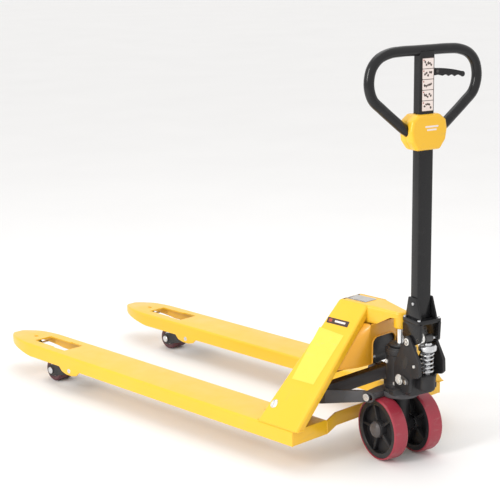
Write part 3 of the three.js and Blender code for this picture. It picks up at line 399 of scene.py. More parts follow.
class Shape:
    """Collects closed skins, in the row frame, for one mesh."""

    def __init__(self):
        self.points = []
        self.faces = []

    def add(self, points, faces, place):
        base = len(self.points)
        self.points += [place @ Vector(p) for p in points]
        self.faces += [[base + i for i in face] for face in faces]
        return self

    def rings(self, rings, place=TRUCK, closed=False):
        """Joins rings of equal length. Open stacks are capped with one face at each end."""
        size = len(rings[0])
        points = [p for ring in rings for p in ring]
        faces = []
        spans = len(rings) if closed else len(rings) - 1
        for r in range(spans):
            low, high = r * size, (r + 1) % len(rings) * size
            for i in range(size):
                j = (i + 1) % size
                faces.append((low + i, low + j, high + j, high + i))
        if not closed:
            faces.append(tuple(reversed(range(size))))
            faces.append(tuple(range(len(points) - size, len(points))))
        return self.add(points, faces, place)

    def lathe(self, profile, place=TRUCK, segments=64):
        """Turns (radius, height) points about Z. A profile that never reaches the axis is a ring."""
        solid = abs(profile[0][0]) < 1e-6
        middle_points = [p for p in profile if p[0] > 1e-6] if solid else profile
        rings = []
        for r, h in middle_points:
            turns = [TAU * k / segments for k in range(segments)]
            rings.append([(r * math.cos(t), r * math.sin(t), h) for t in turns])
        return self.rings(rings, place, closed=not solid)

    def prism(self, outline, low, high, edge=1.0, place=TRUCK, steps=2):
        """Raises an outline from low to high with rounded rims."""
        points = [Vector(p[:2]) for p in outline]
        if area(points) < 0:
            points.reverse()
        edge = min(edge, (high - low) * 0.49)
        stack = []
        for k in range(steps + 1):
            turn = math.pi / 2 * k / steps
            stack.append((edge * (1 - math.sin(turn)), low + edge * (1 - math.cos(turn))))
        stack += [(d, high - (h - low)) for d, h in reversed(stack)]
        rings = [[(p.x, p.y, h) for p in inset(points, d)] for d, h in stack]
        return self.rings(rings, place)

    def block(self, x0, x1, y0, y1, z0, z1, edge=1.5, place=TRUCK):
        corner = min(edge, (x1 - x0) / 3, (y1 - y0) / 3)
        plan = rounded(x0, x1, y0, y1, corner, 3)
        return self.prism(plan, z0, z1, corner * 0.8, place)

    def tube(self, path, radius, place=TRUCK, sides=20):
        """Sweeps a circle along a path. The radius is one number or one for each point."""
        points = [Vector(p) for p in path]
        ahead = (points[1] - points[0]).normalized()
        side = ahead.orthogonal().normalized()
        rings = []
        for i, here in enumerate(points):
            last = points[max(i - 1, 0)]
            following = points[min(i + 1, len(points) - 1)]
            ahead = (following - last).normalized()
            side = (side - ahead * side.dot(ahead)).normalized()
            up = ahead.cross(side)
            r = radius[i] if isinstance(radius, (list, tuple)) else radius
            turns = [TAU * k / sides for k in range(sides)]
            rings.append([here + side * r * math.cos(t) + up * r * math.sin(t) for t in turns])
        return self.rings(rings, place)


def plane_x(place=TRUCK):
    """Draws (a, b, h) as Y, Z and a distance along +X."""
    axes = Matrix(((0, 0, 1, 0), (1, 0, 0, 0), (0, 1, 0, 0), (0, 0, 0, 1)))
    return place @ axes


def plane_y(place=TRUCK):
    """Draws (a, b, h) as X, Z and a distance along -Y."""
    axes = Matrix(((1, 0, 0, 0), (0, 0, -1, 0), (0, 1, 0, 0), (0, 0, 0, 1)))
    return place @ axes


def at(x, y, z, place=TRUCK):
    return place @ Matrix.Translation((x, y, z))


def piece(name, shape, material, body, nodes=(), crease=35):
    """Makes one visible piece from a Shape or a mesh and ties it to its body."""
    if isinstance(shape, Shape):
        mesh = bpy.data.meshes.new(name)
        mesh.from_pydata(shape.points, [], shape.faces)
    else:
        mesh = shape
    work = bmesh.new()
    work.from_mesh(mesh)
    bmesh.ops.remove_doubles(work, verts=work.verts, dist=1e-6)
    bmesh.ops.recalc_face_normals(work, faces=work.faces)
    work.to_mesh(mesh)
    work.free()
    mesh.shade_smooth()
    mesh.set_sharp_from_angle(angle=math.radians(crease))
    mesh.materials.clear()
    mesh.materials.append(material)
    made = bpy.data.objects.new(name, mesh)
    bpy.context.collection.objects.link(made)
    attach(made, body)
    if nodes:
        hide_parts(*nodes)
    return made


def carve(target, *cutters, overlapping=False):
    """Cuts closed shapes out of a piece, whose own skins may overlap."""
    for cutter in cutters:
        mesh = bpy.data.meshes.new("cutter")
        mesh.from_pydata(cutter.points, [], cutter.faces)
        work = bmesh.new()
        work.from_mesh(mesh)
        bmesh.ops.remove_doubles(work, verts=work.verts, dist=1e-5)
        bmesh.ops.recalc_face_normals(work, faces=work.faces)
        work.to_mesh(mesh)
        work.free()
        tool = bpy.data.objects.new("cutter", mesh)
        bpy.context.collection.objects.link(tool)
        step = target.modifiers.new("cut", "BOOLEAN")
        step.operation = "DIFFERENCE"
        step.solver = "EXACT"
        step.use_self = overlapping
        step.object = tool
        bpy.context.view_layer.update()
        graph = bpy.context.evaluated_depsgraph_get()
        cut_mesh = bpy.data.meshes.new_from_object(target.evaluated_get(graph))
        target.modifiers.clear()
        target.data = cut_mesh
        bpy.data.objects.remove(tool)
    target.data.set_sharp_from_angle(angle=math.radians(35))


def refined(node, material, body, width):
    """Stands for a CAD node: its own shape with softened edges."""
    source = frame["nodes"][node].data
    work = bmesh.new()
    work.from_mesh(source)
    bmesh.ops.remove_doubles(work, verts=work.verts, dist=2e-5)
    bmesh.ops.dissolve_limit(work, angle_limit=math.radians(0.6), verts=work.verts, edges=work.edges)
    sharp = [e for e in work.edges if len(e.link_faces) == 2 and e.calc_face_angle() > math.radians(28)]
    bmesh.ops.bevel(work, geom=sharp, offset=width * MM, offset_type="OFFSET", segments=2, profile=0.5,
                    affect="EDGES", clamp_overlap=True)
    bmesh.ops.triangulate(work, faces=[f for f in work.faces if len(f.verts) > 4])
    mesh = bpy.data.meshes.new(node + "_look")
    work.to_mesh(mesh)
    work.free()
    piece(node + "_look", mesh, material, body, (node,), 40)


def drum(radius, low, high, edge=0.8, bore=0.0):
    """Profile of a turned part with rounded rims."""
    if bore:
        return fillet([(bore, low, edge / 2), (radius, low, edge), (radius, high, edge),
                       (bore, high, edge / 2)], 3)
    return fillet([(0.0, low), (radius, low, edge), (radius, high, edge), (0.0, high)], 3)


def hex_bolt(shape, across, height, place):
    """Washer, hexagon head with a turned top, at the origin of place and pointing along +Z."""
    radius = across / 2 / math.cos(math.pi / 6)
    hexagon = arc((0, 0), radius, 0, TAU * 5 / 6, 5)
    shape.lathe(drum(across * 0.72, 0, height * 0.25, 0.3), place, 40)
    shape.prism(hexagon, height * 0.25, height, height * 0.16, place)


def cap_screw(shape, radius, height, place):
    """Round head with a round recess."""
    recess = radius * 0.5
    profile = [(0.0, height * 0.5), (recess, height * 0.5), (recess, height), (radius * 0.86, height),
               (radius, height * 0.8), (radius, 0.0), (0.0, -0.5)]
    shape.lathe(profile, place, 36)


def bead(shape, path, radius):
    """A weld bead: a tube whose thickness ripples along its length."""
    dense = []
    points = [Vector(p) for p in path]
    for start, end in zip(points, points[1:]):
        count = max(2, int((end - start).length / 1.6))
        dense += [start.lerp(end, k / count) for k in range(count)]
    dense.append(points[-1])
    sizes = [radius * (1 + 0.16 * math.sin(k * 2.1) + rng.uniform(-0.08, 0.08)) for k in range(len(dense))]
    shape.tube(dense, sizes, sides=10)


# ------------------------------------------------------------------- chassis
FORK_TOP, FORK_DEPTH, FORK_HALF, FORK_X = 128, 46, 75, 267
HEEL_Y, TAPER_Y, TIP_Y = 119, 1430, 1580
TIP_HALF, TIP_DEPTH = 24, 24
SHEET = 5
FORK_EDGE = FORK_X + FORK_HALF  # outer edge of a fork, where its leg stands
LEG_SHEET, LEG_FOLD = 6, 24
WINDOW_Y = (1252, 1313, 1317, 1430)  # ends of the window and the step in its sides
BULKHEAD_Y, BULKHEAD_HALF, BULKHEAD_LOW = 66, 60, 280.2
SHIELD_BOLT = (40, 71.2, 300)
HEAD_TOP, HEAD_HALF, HEAD_SKIRT, HEAD_REAR_Y, NOSE_Y = 455, 46, 52, 208, -20
LEG_LOW_Y, LEG_HIGH_Y = (104, 267), (92, 208)
LEG_RUN, LEG_RISE = FORK_EDGE - HEAD_HALF, HEAD_TOP - FORK_TOP
LEG_SLOPE = math.hypot(LEG_RUN, LEG_RISE)
ROCKER_Y, ROCKER_Z = 236, 175
YOKE_Y, YOKE_Z = 38, 196  # pins that tie the rocker to the thrust bracket
ARM_Y, ARM_Z = 1185, 76
ROLLER_Y, ROLLER_R = 1331, 40
ENTRY_Y, ENTRY_Z = 1478, 96
ROD_X = FORK_X - 26  # the push rods run inside the fork centre lines
CRANK, HORN = 48, 34  # push rod pins below the rocker shaft and above the arm pivot


def fork_half_width(y):
    """Half width of a fork in plan: straight, then drawn in to the nose."""
    if y <= TAPER_Y:
        return FORK_HALF
    low, high = 0.0, 1.0
    for _ in range(30):
        t = (low + high) / 2
        here = (1 - t) ** 2 * TAPER_Y + 2 * t * (1 - t) * (TIP_Y - 48) + t * t * TIP_Y
        low, high = (t, high) if here < y else (low, t)
    return (1 - t) ** 2 * FORK_HALF + 2 * t * (1 - t) * (FORK_HALF - 8) + t * t * TIP_HALF


def ramp(y, start, end, a, b):
    t = min(max((y - start) / (end - start), 0), 1)
    return a + (b - a) * t


def fork_section(y):
    """Cross-section of a fork: a channel, open below, with rounded shoulders."""
    half = fork_half_width(y) - 0.2
    top = FORK_TOP - ramp(y, TIP_Y - 70, TIP_Y, 0, 4) - 0.1
    bottom = ramp(y, TAPER_Y - 20, TIP_Y, FORK_TOP - FORK_DEPTH, FORK_TOP - TIP_DEPTH)
    corner = 8
    outer = [(-half, bottom), (-half, top, corner), (half, top, corner), (half, bottom)]
    inner = [(half - SHEET, bottom), (half - SHEET, top - SHEET, 3), (SHEET - half, top - SHEET, 3),
             (SHEET - half, bottom)]
    return [(p.x, y, p.y) for p in fillet(outer + inner, 6)]


def fork_nose():
    """Rounded plate that closes the nose of a fork."""
    half = TIP_HALF - 0.3
    low, high = FORK_TOP - TIP_DEPTH, FORK_TOP - 5
    return fillet([(-half, low, 2), (half, low, 2), (half, high, 6), (-half, high, 6)], 5)


def fork(word, side):
    stations = [HEEL_Y + 0.3, HEEL_Y + 4, 600, 1100, TAPER_Y - 20]
    stations += [TAPER_Y + (TIP_Y - 0.6 - TAPER_Y) * math.sin(math.pi / 2 * k / 16) for k in range(17)]
    shape = Shape().rings([[(side * FORK_X + x, y, z) for x, y, z in fork_section(y)] for y in stations])
    nose = at(side * FORK_X, TIP_Y - 0.5, 0)
    shape.prism(fork_nose(), 0, 5, 1.2, plane_y(nose))
    half, foot, top = FORK_HALF - 0.3, FORK_TOP - FORK_DEPTH + 0.2, FORK_TOP - 0.4
    heel = fillet([(-half, foot, 2), (half, foot, 2), (half, top, 8), (-half, top, 8)], 5)
    shape.prism(heel, -5, -0.2, 1.2, plane_y(at(side * FORK_X, HEEL_Y, 0)))
    ear = fillet([(ARM_Y - 62, FORK_TOP - FORK_DEPTH + 6), (ARM_Y - 40, ARM_Z - 9, 12),
                  (ARM_Y - 16, ARM_Z - 15, 14), (ARM_Y + 16, ARM_Z - 15, 14),
                  (ARM_Y + 40, ARM_Z - 9, 12), (ARM_Y + 62, FORK_TOP - FORK_DEPTH + 6)], 4)
    for edge in (-1, 1):
        outer = side * FORK_X + edge * FORK_HALF
        low = min(outer, outer - edge * SHEET)
        shape.prism(ear, low + 0.1, low + SHEET - 0.1, 0.8, plane_x())
    made = piece(f"fork_{word}_pressing", shape, YELLOW, "chassis", (f"fork_{word}",))
    near, wide_end, narrow_start, far = WINDOW_Y
    window = fillet([(-40, near, 3), (40, near, 3), (40, wide_end, 3), (35, narrow_start, 3), (35, far, 3),
                     (-35, far, 3), (-35, narrow_start, 3), (-40, wide_end, 3)], 3)
    cutters = [Shape().prism([(side * FORK_X + p.x, p.y) for p in window], 100, 140, 0.01)]
    cutters.append(Shape().prism(oval(side * FORK_X, 1470, 7, 9), 100, 140, 0.01))
    rod_x = side * ROD_X
    cutters.append(Shape().block(rod_x - 20, rod_x + 20, 204, 318, 108, 140))
    carve(made, *cutters, overlapping=True)


def leg(word, side):
    """Folded channel that leans from the fork's outer edge up to the head."""
    up = Vector((LEG_RUN / LEG_SLOPE, 0, LEG_RISE / LEG_SLOPE))
    inward = Vector((LEG_RISE / LEG_SLOPE, 0, -LEG_RUN / LEG_SLOPE))
    origin = Vector((-FORK_EDGE, 0, FORK_TOP))

    def section(t):
        front = LEG_LOW_Y[0] + (LEG_HIGH_Y[0] - LEG_LOW_Y[0]) * t / LEG_SLOPE
        rear = LEG_LOW_Y[1] + (LEG_HIGH_Y[1] - LEG_LOW_Y[1]) * t / LEG_SLOPE
        wall, deep = LEG_SHEET, LEG_FOLD
        corners = [(front, deep, 1), (front, 0.2, 9), (rear, 0.2, 9), (rear, deep, 1), (rear - wall, deep, 1),
                   (rear - wall, wall, 3), (front + wall, wall, 3), (front + wall, deep, 1)]
        return fillet(corners, 5)

    rows = []
    for share in [k / 12 for k in range(13)]:
        row = []
        for i in range(len(section(0))):
            def spot(t):
                y, depth = section(t)[i]
                return origin + up * t + inward * depth + Vector((0, y, 0))
            depth = section(0)[i].y
            start = (0.4 - inward.z * depth) / up.z
            end = min((LEG_RUN - 0.4 - inward.x * depth) / up.x, (LEG_RISE - 1 - inward.z * depth) / up.z)
            row.append(spot(start + (end - start) * share))
        rows.append([(-side * p.x, p.y, p.z) for p in row])
    shape = Shape().rings(rows)
    piece(f"leg_{word}_pressing", shape, YELLOW, "chassis", (f"leg_{word}",))


def head_outline(margin=0.0):
    nose = 24
    points = [(HEAD_HALF, HEAD_REAR_Y, 8), (-HEAD_HALF, HEAD_REAR_Y, 8), (-HEAD_HALF, 92, 30)]
    points += arc((0, NOSE_Y + nose), nose, math.pi, TAU, 24)
    points.append((HEAD_HALF, 92, 30))
    outline = fillet(list(reversed(points)), 6)
    if area(outline) < 0:
        outline.reverse()
    return inset(outline, margin) if margin else outline


def head_top(y):
    return HEAD_TOP - ramp(y, 92, NOSE_Y, 0, 10) - 0.1


def head():
    low = HEAD_TOP - HEAD_SKIRT
    roll = 9
    rings = [[(p.x, p.y, low) for p in head_outline()]]
    for k in range(7):
        turn = math.pi / 2 * k / 6
        inner = head_outline(0.001 + roll * (1 - math.cos(turn)))
        rings.append([(p.x, p.y, head_top(p.y) - roll * (1 - math.sin(turn))) for p in inner])
    rings.append([(p.x, p.y, head_top(p.y)) for p in head_outline(15)])
    shape = Shape().rings(rings)
    made = piece("head_beam_pressing", shape, YELLOW, "chassis", ("head_beam",))
    hollow = head_outline(6)
    carve(made, Shape().rings([[(p.x, p.y, h) for p in hollow] for h in (low - 10, HEAD_TOP - 19)]))
    under = [(NOSE_Y - 5, low - 5), (62, low - 5), (62, low), (20, low + 24), (NOSE_Y - 5, low + 24)]
    carve(made, Shape().prism(under, -60, 60, 0.01, plane_x()))
    boss = Shape().lathe(drum(21.9, 396.5, 438, 2))
    piece("head_ram_boss", boss, YELLOW, "chassis")


def inside_legs(z):
    wall = LEG_SHEET * LEG_SLOPE / LEG_RISE
    return FORK_EDGE - (z - FORK_TOP) * LEG_RUN / LEG_RISE - wall - 0.6


def bulkhead():
    """Sheet under the head: its wings sweep back to the legs, and an arch clears the pump."""
    top, low = HEAD_TOP - HEAD_SKIRT - 0.5, BULKHEAD_LOW
    half, crown, r = 53, 362, 24

    def edge(share, z):
        reach = inside_legs(z) - LEG_FOLD - BULKHEAD_HALF
        sweep = ramp(z, FORK_TOP, HEAD_TOP, LEG_LOW_Y[0], LEG_HIGH_Y[0]) - BULKHEAD_Y
        return Vector((BULKHEAD_HALF + share * reach, BULKHEAD_Y + share * share * sweep))

    levels = []
    for k in range(17):
        z = low + (top - low) * k / 16
        wing = [edge(n / 10, z) for n in range(11)]
        line = [Vector((-p.x, p.y)) for p in reversed(wing)] + wing
        rear = []
        for n, here in enumerate(line):
            run = (line[min(n + 1, len(line) - 1)] - line[max(n - 1, 0)]).normalized()
            rear.append(here + Vector((-run.y, run.x)) * SHEET)
        levels.append([(p.x, p.y, z) for p in line + rear[::-1]])
    # The bulkhead sheet takes the darkened yellow: painted shade.
    made = piece("front_bulkhead_sheet", Shape().rings(levels), YELLOW_PAINTED_SHADE, "chassis", ("front_bulkhead",))
    rim = arc((r - half, crown - r), r, math.pi, math.pi / 2, 8)
    rim += arc((half - r, crown - r), r, math.pi / 2, 0, 8)
    carve(made, Shape().prism([(-half, low - 10)] + rim + [(half, low - 10)], -120, -40, 0.01, plane_y()))
    edge_line = [(-half, low + 2)] + rim + [(half, low + 2)]
    hem = Shape().tube([(x, BULKHEAD_Y - 0.4, z) for x, z in edge_line], 2.4, sides=10)
    for sign in (-1, 1):
        foot = [edge(n / 10, low) for n in range(11)]
        hem.tube([(sign * p.x, p.y - 0.3, low + 2.4) for p in foot], 2.2, sides=10)
    # The hem takes the darkened yellow too: painted shade.
    piece("front_bulkhead_hem", hem, YELLOW_PAINTED_SHADE, "chassis")


def welds():
    shape = Shape()
    fork_low, head_low = FORK_TOP - FORK_DEPTH + 2, HEAD_TOP - HEAD_SKIRT + 4
    for side in (-1, 1):
        def run(start, end, radius):
            ends = [(side * x, y, z) for x, y, z in (start, end)]
            bead(shape, ends, radius)

        run((FORK_EDGE - 2.5, 112, 129.2), (FORK_EDGE - 2.5, 259, 129.2), 2.2)
        run((FORK_EDGE - 6, 268, 128.6), (FORK_EDGE - 28, 268.5, 128.6), 2.4)
        run((FORK_EDGE - 6, 103, 128.4), (FORK_EDGE - 28, 103, 128.4), 2.2)
        run((FORK_X - FORK_HALF, HEEL_Y + 1, fork_low), (FORK_X - FORK_HALF, HEEL_Y + 1, 122), 2.2)
        run((HEAD_HALF - 1, 98, head_low), (HEAD_HALF - 1, 92, 444), 1.8)
    piece("weld_beads", shape, YELLOW, "chassis", crease=60)


def pin(name, profile, material, body, place, nodes=()):
    """A turned part along X: place sets the middle of its axis."""
    shape = Shape().lathe(profile, place @ ALONG_X, 48)
    piece(name, shape, material, body, nodes)


def chassis_pieces():
    head()
    bulkhead()
    # The rear bulkhead takes the darkened yellow: painted shade.
    refined("rear_bulkhead", YELLOW_PAINTED_SHADE, "chassis", 1.2)
    refined("arch_shield", CASTING, "chassis", 1.0)
    shield_bolts = Shape()
    x, y, z = SHIELD_BOLT
    for sign in (-1, 1):
        cap_screw(shield_bolts, 5, 4, at(sign * x, y, z) @ TO_OPERATOR)
    piece("arch_shield_bolts", shield_bolts, ZINC, "chassis")
    refined("cross_member", YELLOW, "chassis", 1.2)
    for word, side in SIDES:
        fork(word, side)
        leg(word, side)
        pin(f"arm_pivot_{word}", drum(8, -76, 76, 1.2), ZINC, "chassis",
            at(side * FORK_X, ARM_Y, ARM_Z), (f"arm_pivot_pin_{word}",))
        pin(f"entry_axle_{word}_turned", drum(4, -56, 56, 0.8), ZINC, "chassis",
            at(side * FORK_X, ENTRY_Y, ENTRY_Z), (f"entry_axle_{word}",))
        cap = [(0.0, 2.6), (5, 2.6), (10.5, 1.9), (12.2, 0.6), (12.2, -0.4), (0.0, -0.4)]
        piece(f"shaft_cap_{word}", Shape().lathe(cap, on_leg(side, slope_at(ROCKER_Z), ROCKER_Y), 40),
              PALE_ZINC, "chassis")
    welds()
    ram = [(0.0, 252), (13, 252), (15, 254), (15, 391), (14.4, 393.4), (12.5, 395), (8, 395.8), (0.0, 396)]
    piece("lift_ram_turned", Shape().lathe(ram, TRUCK, 72), CHROME, "chassis", ("lift_ram",))


def on_leg(side, t, y):
    """Place matrix on the leg's face: X runs up the slope, Y along the truck, Z outward."""
    up = Vector((-side * LEG_RUN, 0, LEG_RISE)) / LEG_SLOPE
    out = Vector((side * LEG_RISE, 0, LEG_RUN)) / LEG_SLOPE
    turn = Matrix((up, out.cross(up), out)).transposed().to_4x4()
    spot = (side * (FORK_EDGE - LEG_RUN * t / LEG_SLOPE), y, FORK_TOP + LEG_RISE * t / LEG_SLOPE)
    return TRUCK @ Matrix.Translation(spot) @ turn


def slope_at(z):
    return (z - FORK_TOP) / LEG_RISE * LEG_SLOPE


def leg_labels():
    """Blank decals on the leg by the operator's left hand, with no lettering."""
    side = -1
    high, low = slope_at(403), slope_at(397)

    def patch(name, corners, material, lift):
        flat = [(t - corners[0][0], y - corners[0][1]) for t, y in corners]
        place = on_leg(side, corners[0][0], corners[0][1])
        outline = fillet([(a, b, 1.5) for a, b in flat], 3)
        piece(name, Shape().prism(outline, lift, lift + 0.3, 0.08, place, 1), material, "chassis")

    patch("leg_badge", [(high + 5, 210), (high + 5, 124), (low - 6, 122), (low - 6, 207)], FILM_DARK, 0.1)
    patch("leg_badge_panel", [(high - 1, 178), (high - 1, 136), (low + 1, 135), (low + 1, 177)],
          FILM_PALE, 0.35)
    patch("leg_badge_square", [(high + 1, 202), (high + 1, 189), (low - 1, 188), (low - 1, 201)],
          FILM_RED, 0.35)
    patch("leg_panel_yellow", [(slope_at(378), 222), (slope_at(372), 119), (slope_at(244), 134),
                               (slope_at(243), 221)], FILM_YELLOW, 0.1)


def head_plate():
    outline = rounded(-26, 26, 118, 196, 3)
    shape = Shape().prism(outline, 0, 1.0, 0.3, at(0, 0, HEAD_TOP + 0.3), 1)
    piece("data_plate_film", shape, FILM_GREY, "chassis", ("data_plate",))
    marks = Shape()
    for x0, x1, y0 in ((-24, -8, 189), (-4, 6, 190), (-24, -17, 181), (-24, -20, 172)):
        marks.prism([(x0, y0), (x1, y0), (x1, y0 + 4), (x0, y0 + 4)], 1.0, 1.15, 0.02,
                    at(0, 0, HEAD_TOP + 0.3), 1)
    for k in range(6):
        marks.prism([(-25, 121 + 8 * k), (-19, 121 + 8 * k), (-20, 125 + 8 * k), (-25, 126 + 8 * k)],
                    1.0, 1.15, 0.02, at(0, 0, HEAD_TOP + 0.3), 1)
    piece("data_plate_marks", marks, FILM_DARK, "chassis")
    studs = Shape()
    for x in (-22.5, 22.5):
        for y in (121.5, 192.5):
            studs.lathe([(0.0, 2.2), (1.4, 2.0), (2.2, 1.0), (2.2, 0.5), (0.0, 0.5)],
                        at(x, y, HEAD_TOP + 0.4), 16)
    piece("data_plate_studs", studs, ZINC, "chassis")


# ------------------------------------------------------- rocker, rods, rollers
def linkage_pieces():
    # The yoke takes the lightened black casting: painted light.
    refined("rocker_yoke", LIT_CASTING, "rocker", 1.6)
    pin("rocker_shaft_turned", drum(12, -296, 296, 1.4), ZINC, "rocker",
        at(0, ROCKER_Y, ROCKER_Z), ("rocker_shaft",))
    for word, side in SIDES:
        refined(f"rocker_crank_{word}", CASTING, "rocker", 1.2)
        refined(f"push_rod_{word}", STEEL, f"push_rod_{word}", 1.0)
        refined(f"wheel_arm_{word}", CASTING, f"wheel_arm_{word}", 1.2)
        pin(f"crank_pin_{word}_turned", drum(6, -18, 18, 0.8), ZINC, "rocker",
            at(side * ROD_X, ROCKER_Y, ROCKER_Z - CRANK), (f"crank_pin_{word}",))
        pin(f"horn_pin_{word}_turned", drum(5, -14, 14, 0.8), ZINC, f"wheel_arm_{word}",
            at(side * ROD_X, ARM_Y - 2, ARM_Z + HORN), (f"horn_pin_{word}",))
        hub = at(side * FORK_X, ROLLER_Y, ROLLER_R)
        axle = both_ends([(0.0, -48), (10, -48), (12, -46.6), (12, -43.4), (8, -43.4)])
        pin(f"roller_axle_{word}_turned", axle, ZINC, f"wheel_arm_{word}", hub,
            (f"roller_axle_{word}",))
        roller = fillet(both_ends([(23, -31, 1), (36, -33, 1.5), (40, -29.5, 3)]), 4)
        # The tread takes the darkened crimson: painted shade.
        pin(f"load_roller_{word}_tread", roller, ROLLER, f"load_roller_{word}", hub,
            (f"load_roller_{word}",))
        core = both_ends([(8.4, -32), (13, -32), (13.6, -31.4), (14.2, -32), (20, -32), (20.6, -31),
                          (22.9, -30.4)])
        pin(f"load_roller_{word}_bearing", core, ZINC, f"load_roller_{word}", hub)
        entry = fillet(both_ends([(4.3, -22, 0.5), (13.9, -22, 2.5)]), 4)
        pin(f"entry_roller_{word}_turned", entry, MOULDED, f"entry_roller_{word}",
            at(side * FORK_X, ENTRY_Y, ENTRY_Z), (f"entry_roller_{word}",))


def bracket_pieces():
    # The bracket takes the lightened black casting: painted light.
    refined("thrust_bracket", LIT_CASTING, "base", 1.4)
    heads = Shape()
    profile = [(0.0, 0), (11, 0), (11.4, 0.8), (10.6, 1.8), (6, 2.2), (0.0, 2.4)]
    for sign in (-1, 1):
        heads.lathe(profile, at(sign * 112.1, YOKE_Y, YOKE_Z) @ OUTWARD[sign], 40)
    piece("yoke_pin_heads", heads, PALE_ZINC, "base")
    race = [(29, 205.5), (50, 205.5), (51.6, 206.4), (52, 209.4), (50.8, 209.8), (50.8, 210.2), (52, 210.6),
            (51.6, 213.6), (50, 214.3), (29, 214.3)]
    piece("thrust_bearing_turned", Shape().lathe(race, TRUCK, 96), STEEL, "base",
          ("thrust_bearing",))


# ---------------------------------------------------------------------- pump
WHEEL_R, WHEEL_X = 94, 64
PUMP_LOW = 215
PIVOT_Y, PIVOT_Z = -92, 382
PLUNGER_Y, CAP_TOP = -126, 381
SPRING_BOTTOM, SPRING_TOP = 285, 352
SPRING_COILS, SPRING_WIRE, SPRING_R = 5, 2.6, 20.5
VALVE_Y, VALVE_Z = -96, 262
CHEEK_IN, CHEEK_OUT = 39, 49
CHEEK_WINDOW, WINDOW_TILT = (-84, 316), 0.35


def cheek_outline():
    points = [(-72, PUMP_LOW, 2), (-34, PUMP_LOW, 3), (-28, 300, 40), (PIVOT_Y + 17, PIVOT_Z)]
    points += arc((PIVOT_Y, PIVOT_Z), 17, 0, 0.86 * math.pi, 16)
    points += [(-150, 330, 14), (-152, 292, 6), (-140, 282, 6), (-112, 276, 12),
               (-102, PUMP_LOW + 12, 10), (-72, PUMP_LOW + 6, 4)]
    return fillet(points, 5)


def pump_casting():
    shape = Shape()
    place = STEERED_MM
    body = [(0.0, PUMP_LOW), (50, PUMP_LOW, 2), (50, PUMP_LOW + 16, 4), (43, PUMP_LOW + 20, 8),
            (43, 317, 2), (47, 320, 2), (47, 334, 2), (43, 336, 1.5), (43, 341, 1.5), (19, 341),
            (19, 260), (0.0, 260)]
    shape.lathe(fillet(body, 4), place, 96)
    neck = [(0.0, 66), (28, 66, 2), (28, PUMP_LOW + 1), (0.0, PUMP_LOW + 1)]
    shape.lathe(fillet(neck, 3), place, 72)
    shape.lathe(drum(26, -36, 36, 2, 13), at(0, 0, WHEEL_R, place) @ ALONG_X, 64)
    shape.block(-80, 80, -74, -46, PUMP_LOW, PUMP_LOW + 18, 4, place)
    shape.block(-41, 41, -102, -20, PUMP_LOW, 298, 5, place)
    shape.block(-22, 22, PLUNGER_Y, -98, PUMP_LOW + 22, 280, 4, place)
    seat = [(10.5, PUMP_LOW + 22), (21, PUMP_LOW + 22, 1), (24, PUMP_LOW + 27, 3), (24, 281, 2),
            (21, 284.6, 1.5), (10.5, 284.6)]
    shape.lathe(fillet(seat, 3), at(0, PLUNGER_Y, 0, place), 48)
    for low in (-CHEEK_OUT, CHEEK_IN):
        shape.prism(cheek_outline(), low, low + CHEEK_OUT - CHEEK_IN, 2.2, plane_x(place), 3)
    piece("pump_casting", shape, CASTING, "pump", ("pump_body",))


def cheek_trim():
    """Raised rims of the windows in the pump's cheeks, and flat dark ovals inside them that are painted shade
    standing for the recesses.
    """
    place = STEERED_MM
    rims = Shape()
    for sign in (-1, 1):
        face = sign * CHEEK_OUT
        rim = [(face - sign * 0.4, y, z) for y, z in oval(*CHEEK_WINDOW, 12, 22, WINDOW_TILT)]
        path = [(x, y, z) for x, y, z in rim] + [rim[0], rim[1]]
        rims.tube(path, 1.7, place, 8)
        turns = [TAU * k / 36 for k in range(38)]
        ring = [(face - sign * 0.2, PIVOT_Y + 14 * math.cos(t), PIVOT_Z + 14 * math.sin(t)) for t in turns]
        rims.tube(ring, 1.2, place, 8)
    piece("cheek_rims", rims, CASTING, "pump")
    # Thin dark ovals on the cheek faces: painted shade where the window recesses would be.
    hollow = Shape()
    for sign in (-1, 1):
        low = sign * (CHEEK_OUT + 0.15) - 0.1
        hollow.prism(oval(*CHEEK_WINDOW, 10.8, 20.8, WINDOW_TILT), low, low + 0.2, 0.02, plane_x(place), 1)
    piece("cheek_recess_painted_shade", hollow, MOULDED, "pump")


def pump_fasteners():
    place = STEERED_MM
    bolts = Shape()
    hex_bolt(bolts, 22, 7, at(-CHEEK_OUT, -58, 259, place) @ OUTWARD[-1])
    hex_bolt(bolts, 17, 6, at(CHEEK_OUT, -58, 259, place) @ OUTWARD[1])
    cap_screw(bolts, 5.5, 4.5, at(-40, -26, 236, place) @ OUTWARD[-1])
    for sign in (-1, 1):
        cap_screw(bolts, 5.5, 4.5, at(sign * 42.4, 11, 296, place) @ OUTWARD[sign])
        cap_screw(bolts, 4.5, 4, at(sign * CHEEK_OUT, -128, 316, place) @ OUTWARD[sign])
    piece("pump_bolts", bolts, PALE_ZINC, "pump")
    hook = [(-23, -136, 389), (-23, -138, 398), (-22, -132, 407), (-22, -118, 411), (-22, -106, 406)]
    piece("valve_cam_hook", Shape().tube(smooth_path(hook, 6), 3.4, place, 14), PALE_ZINC, "handle")


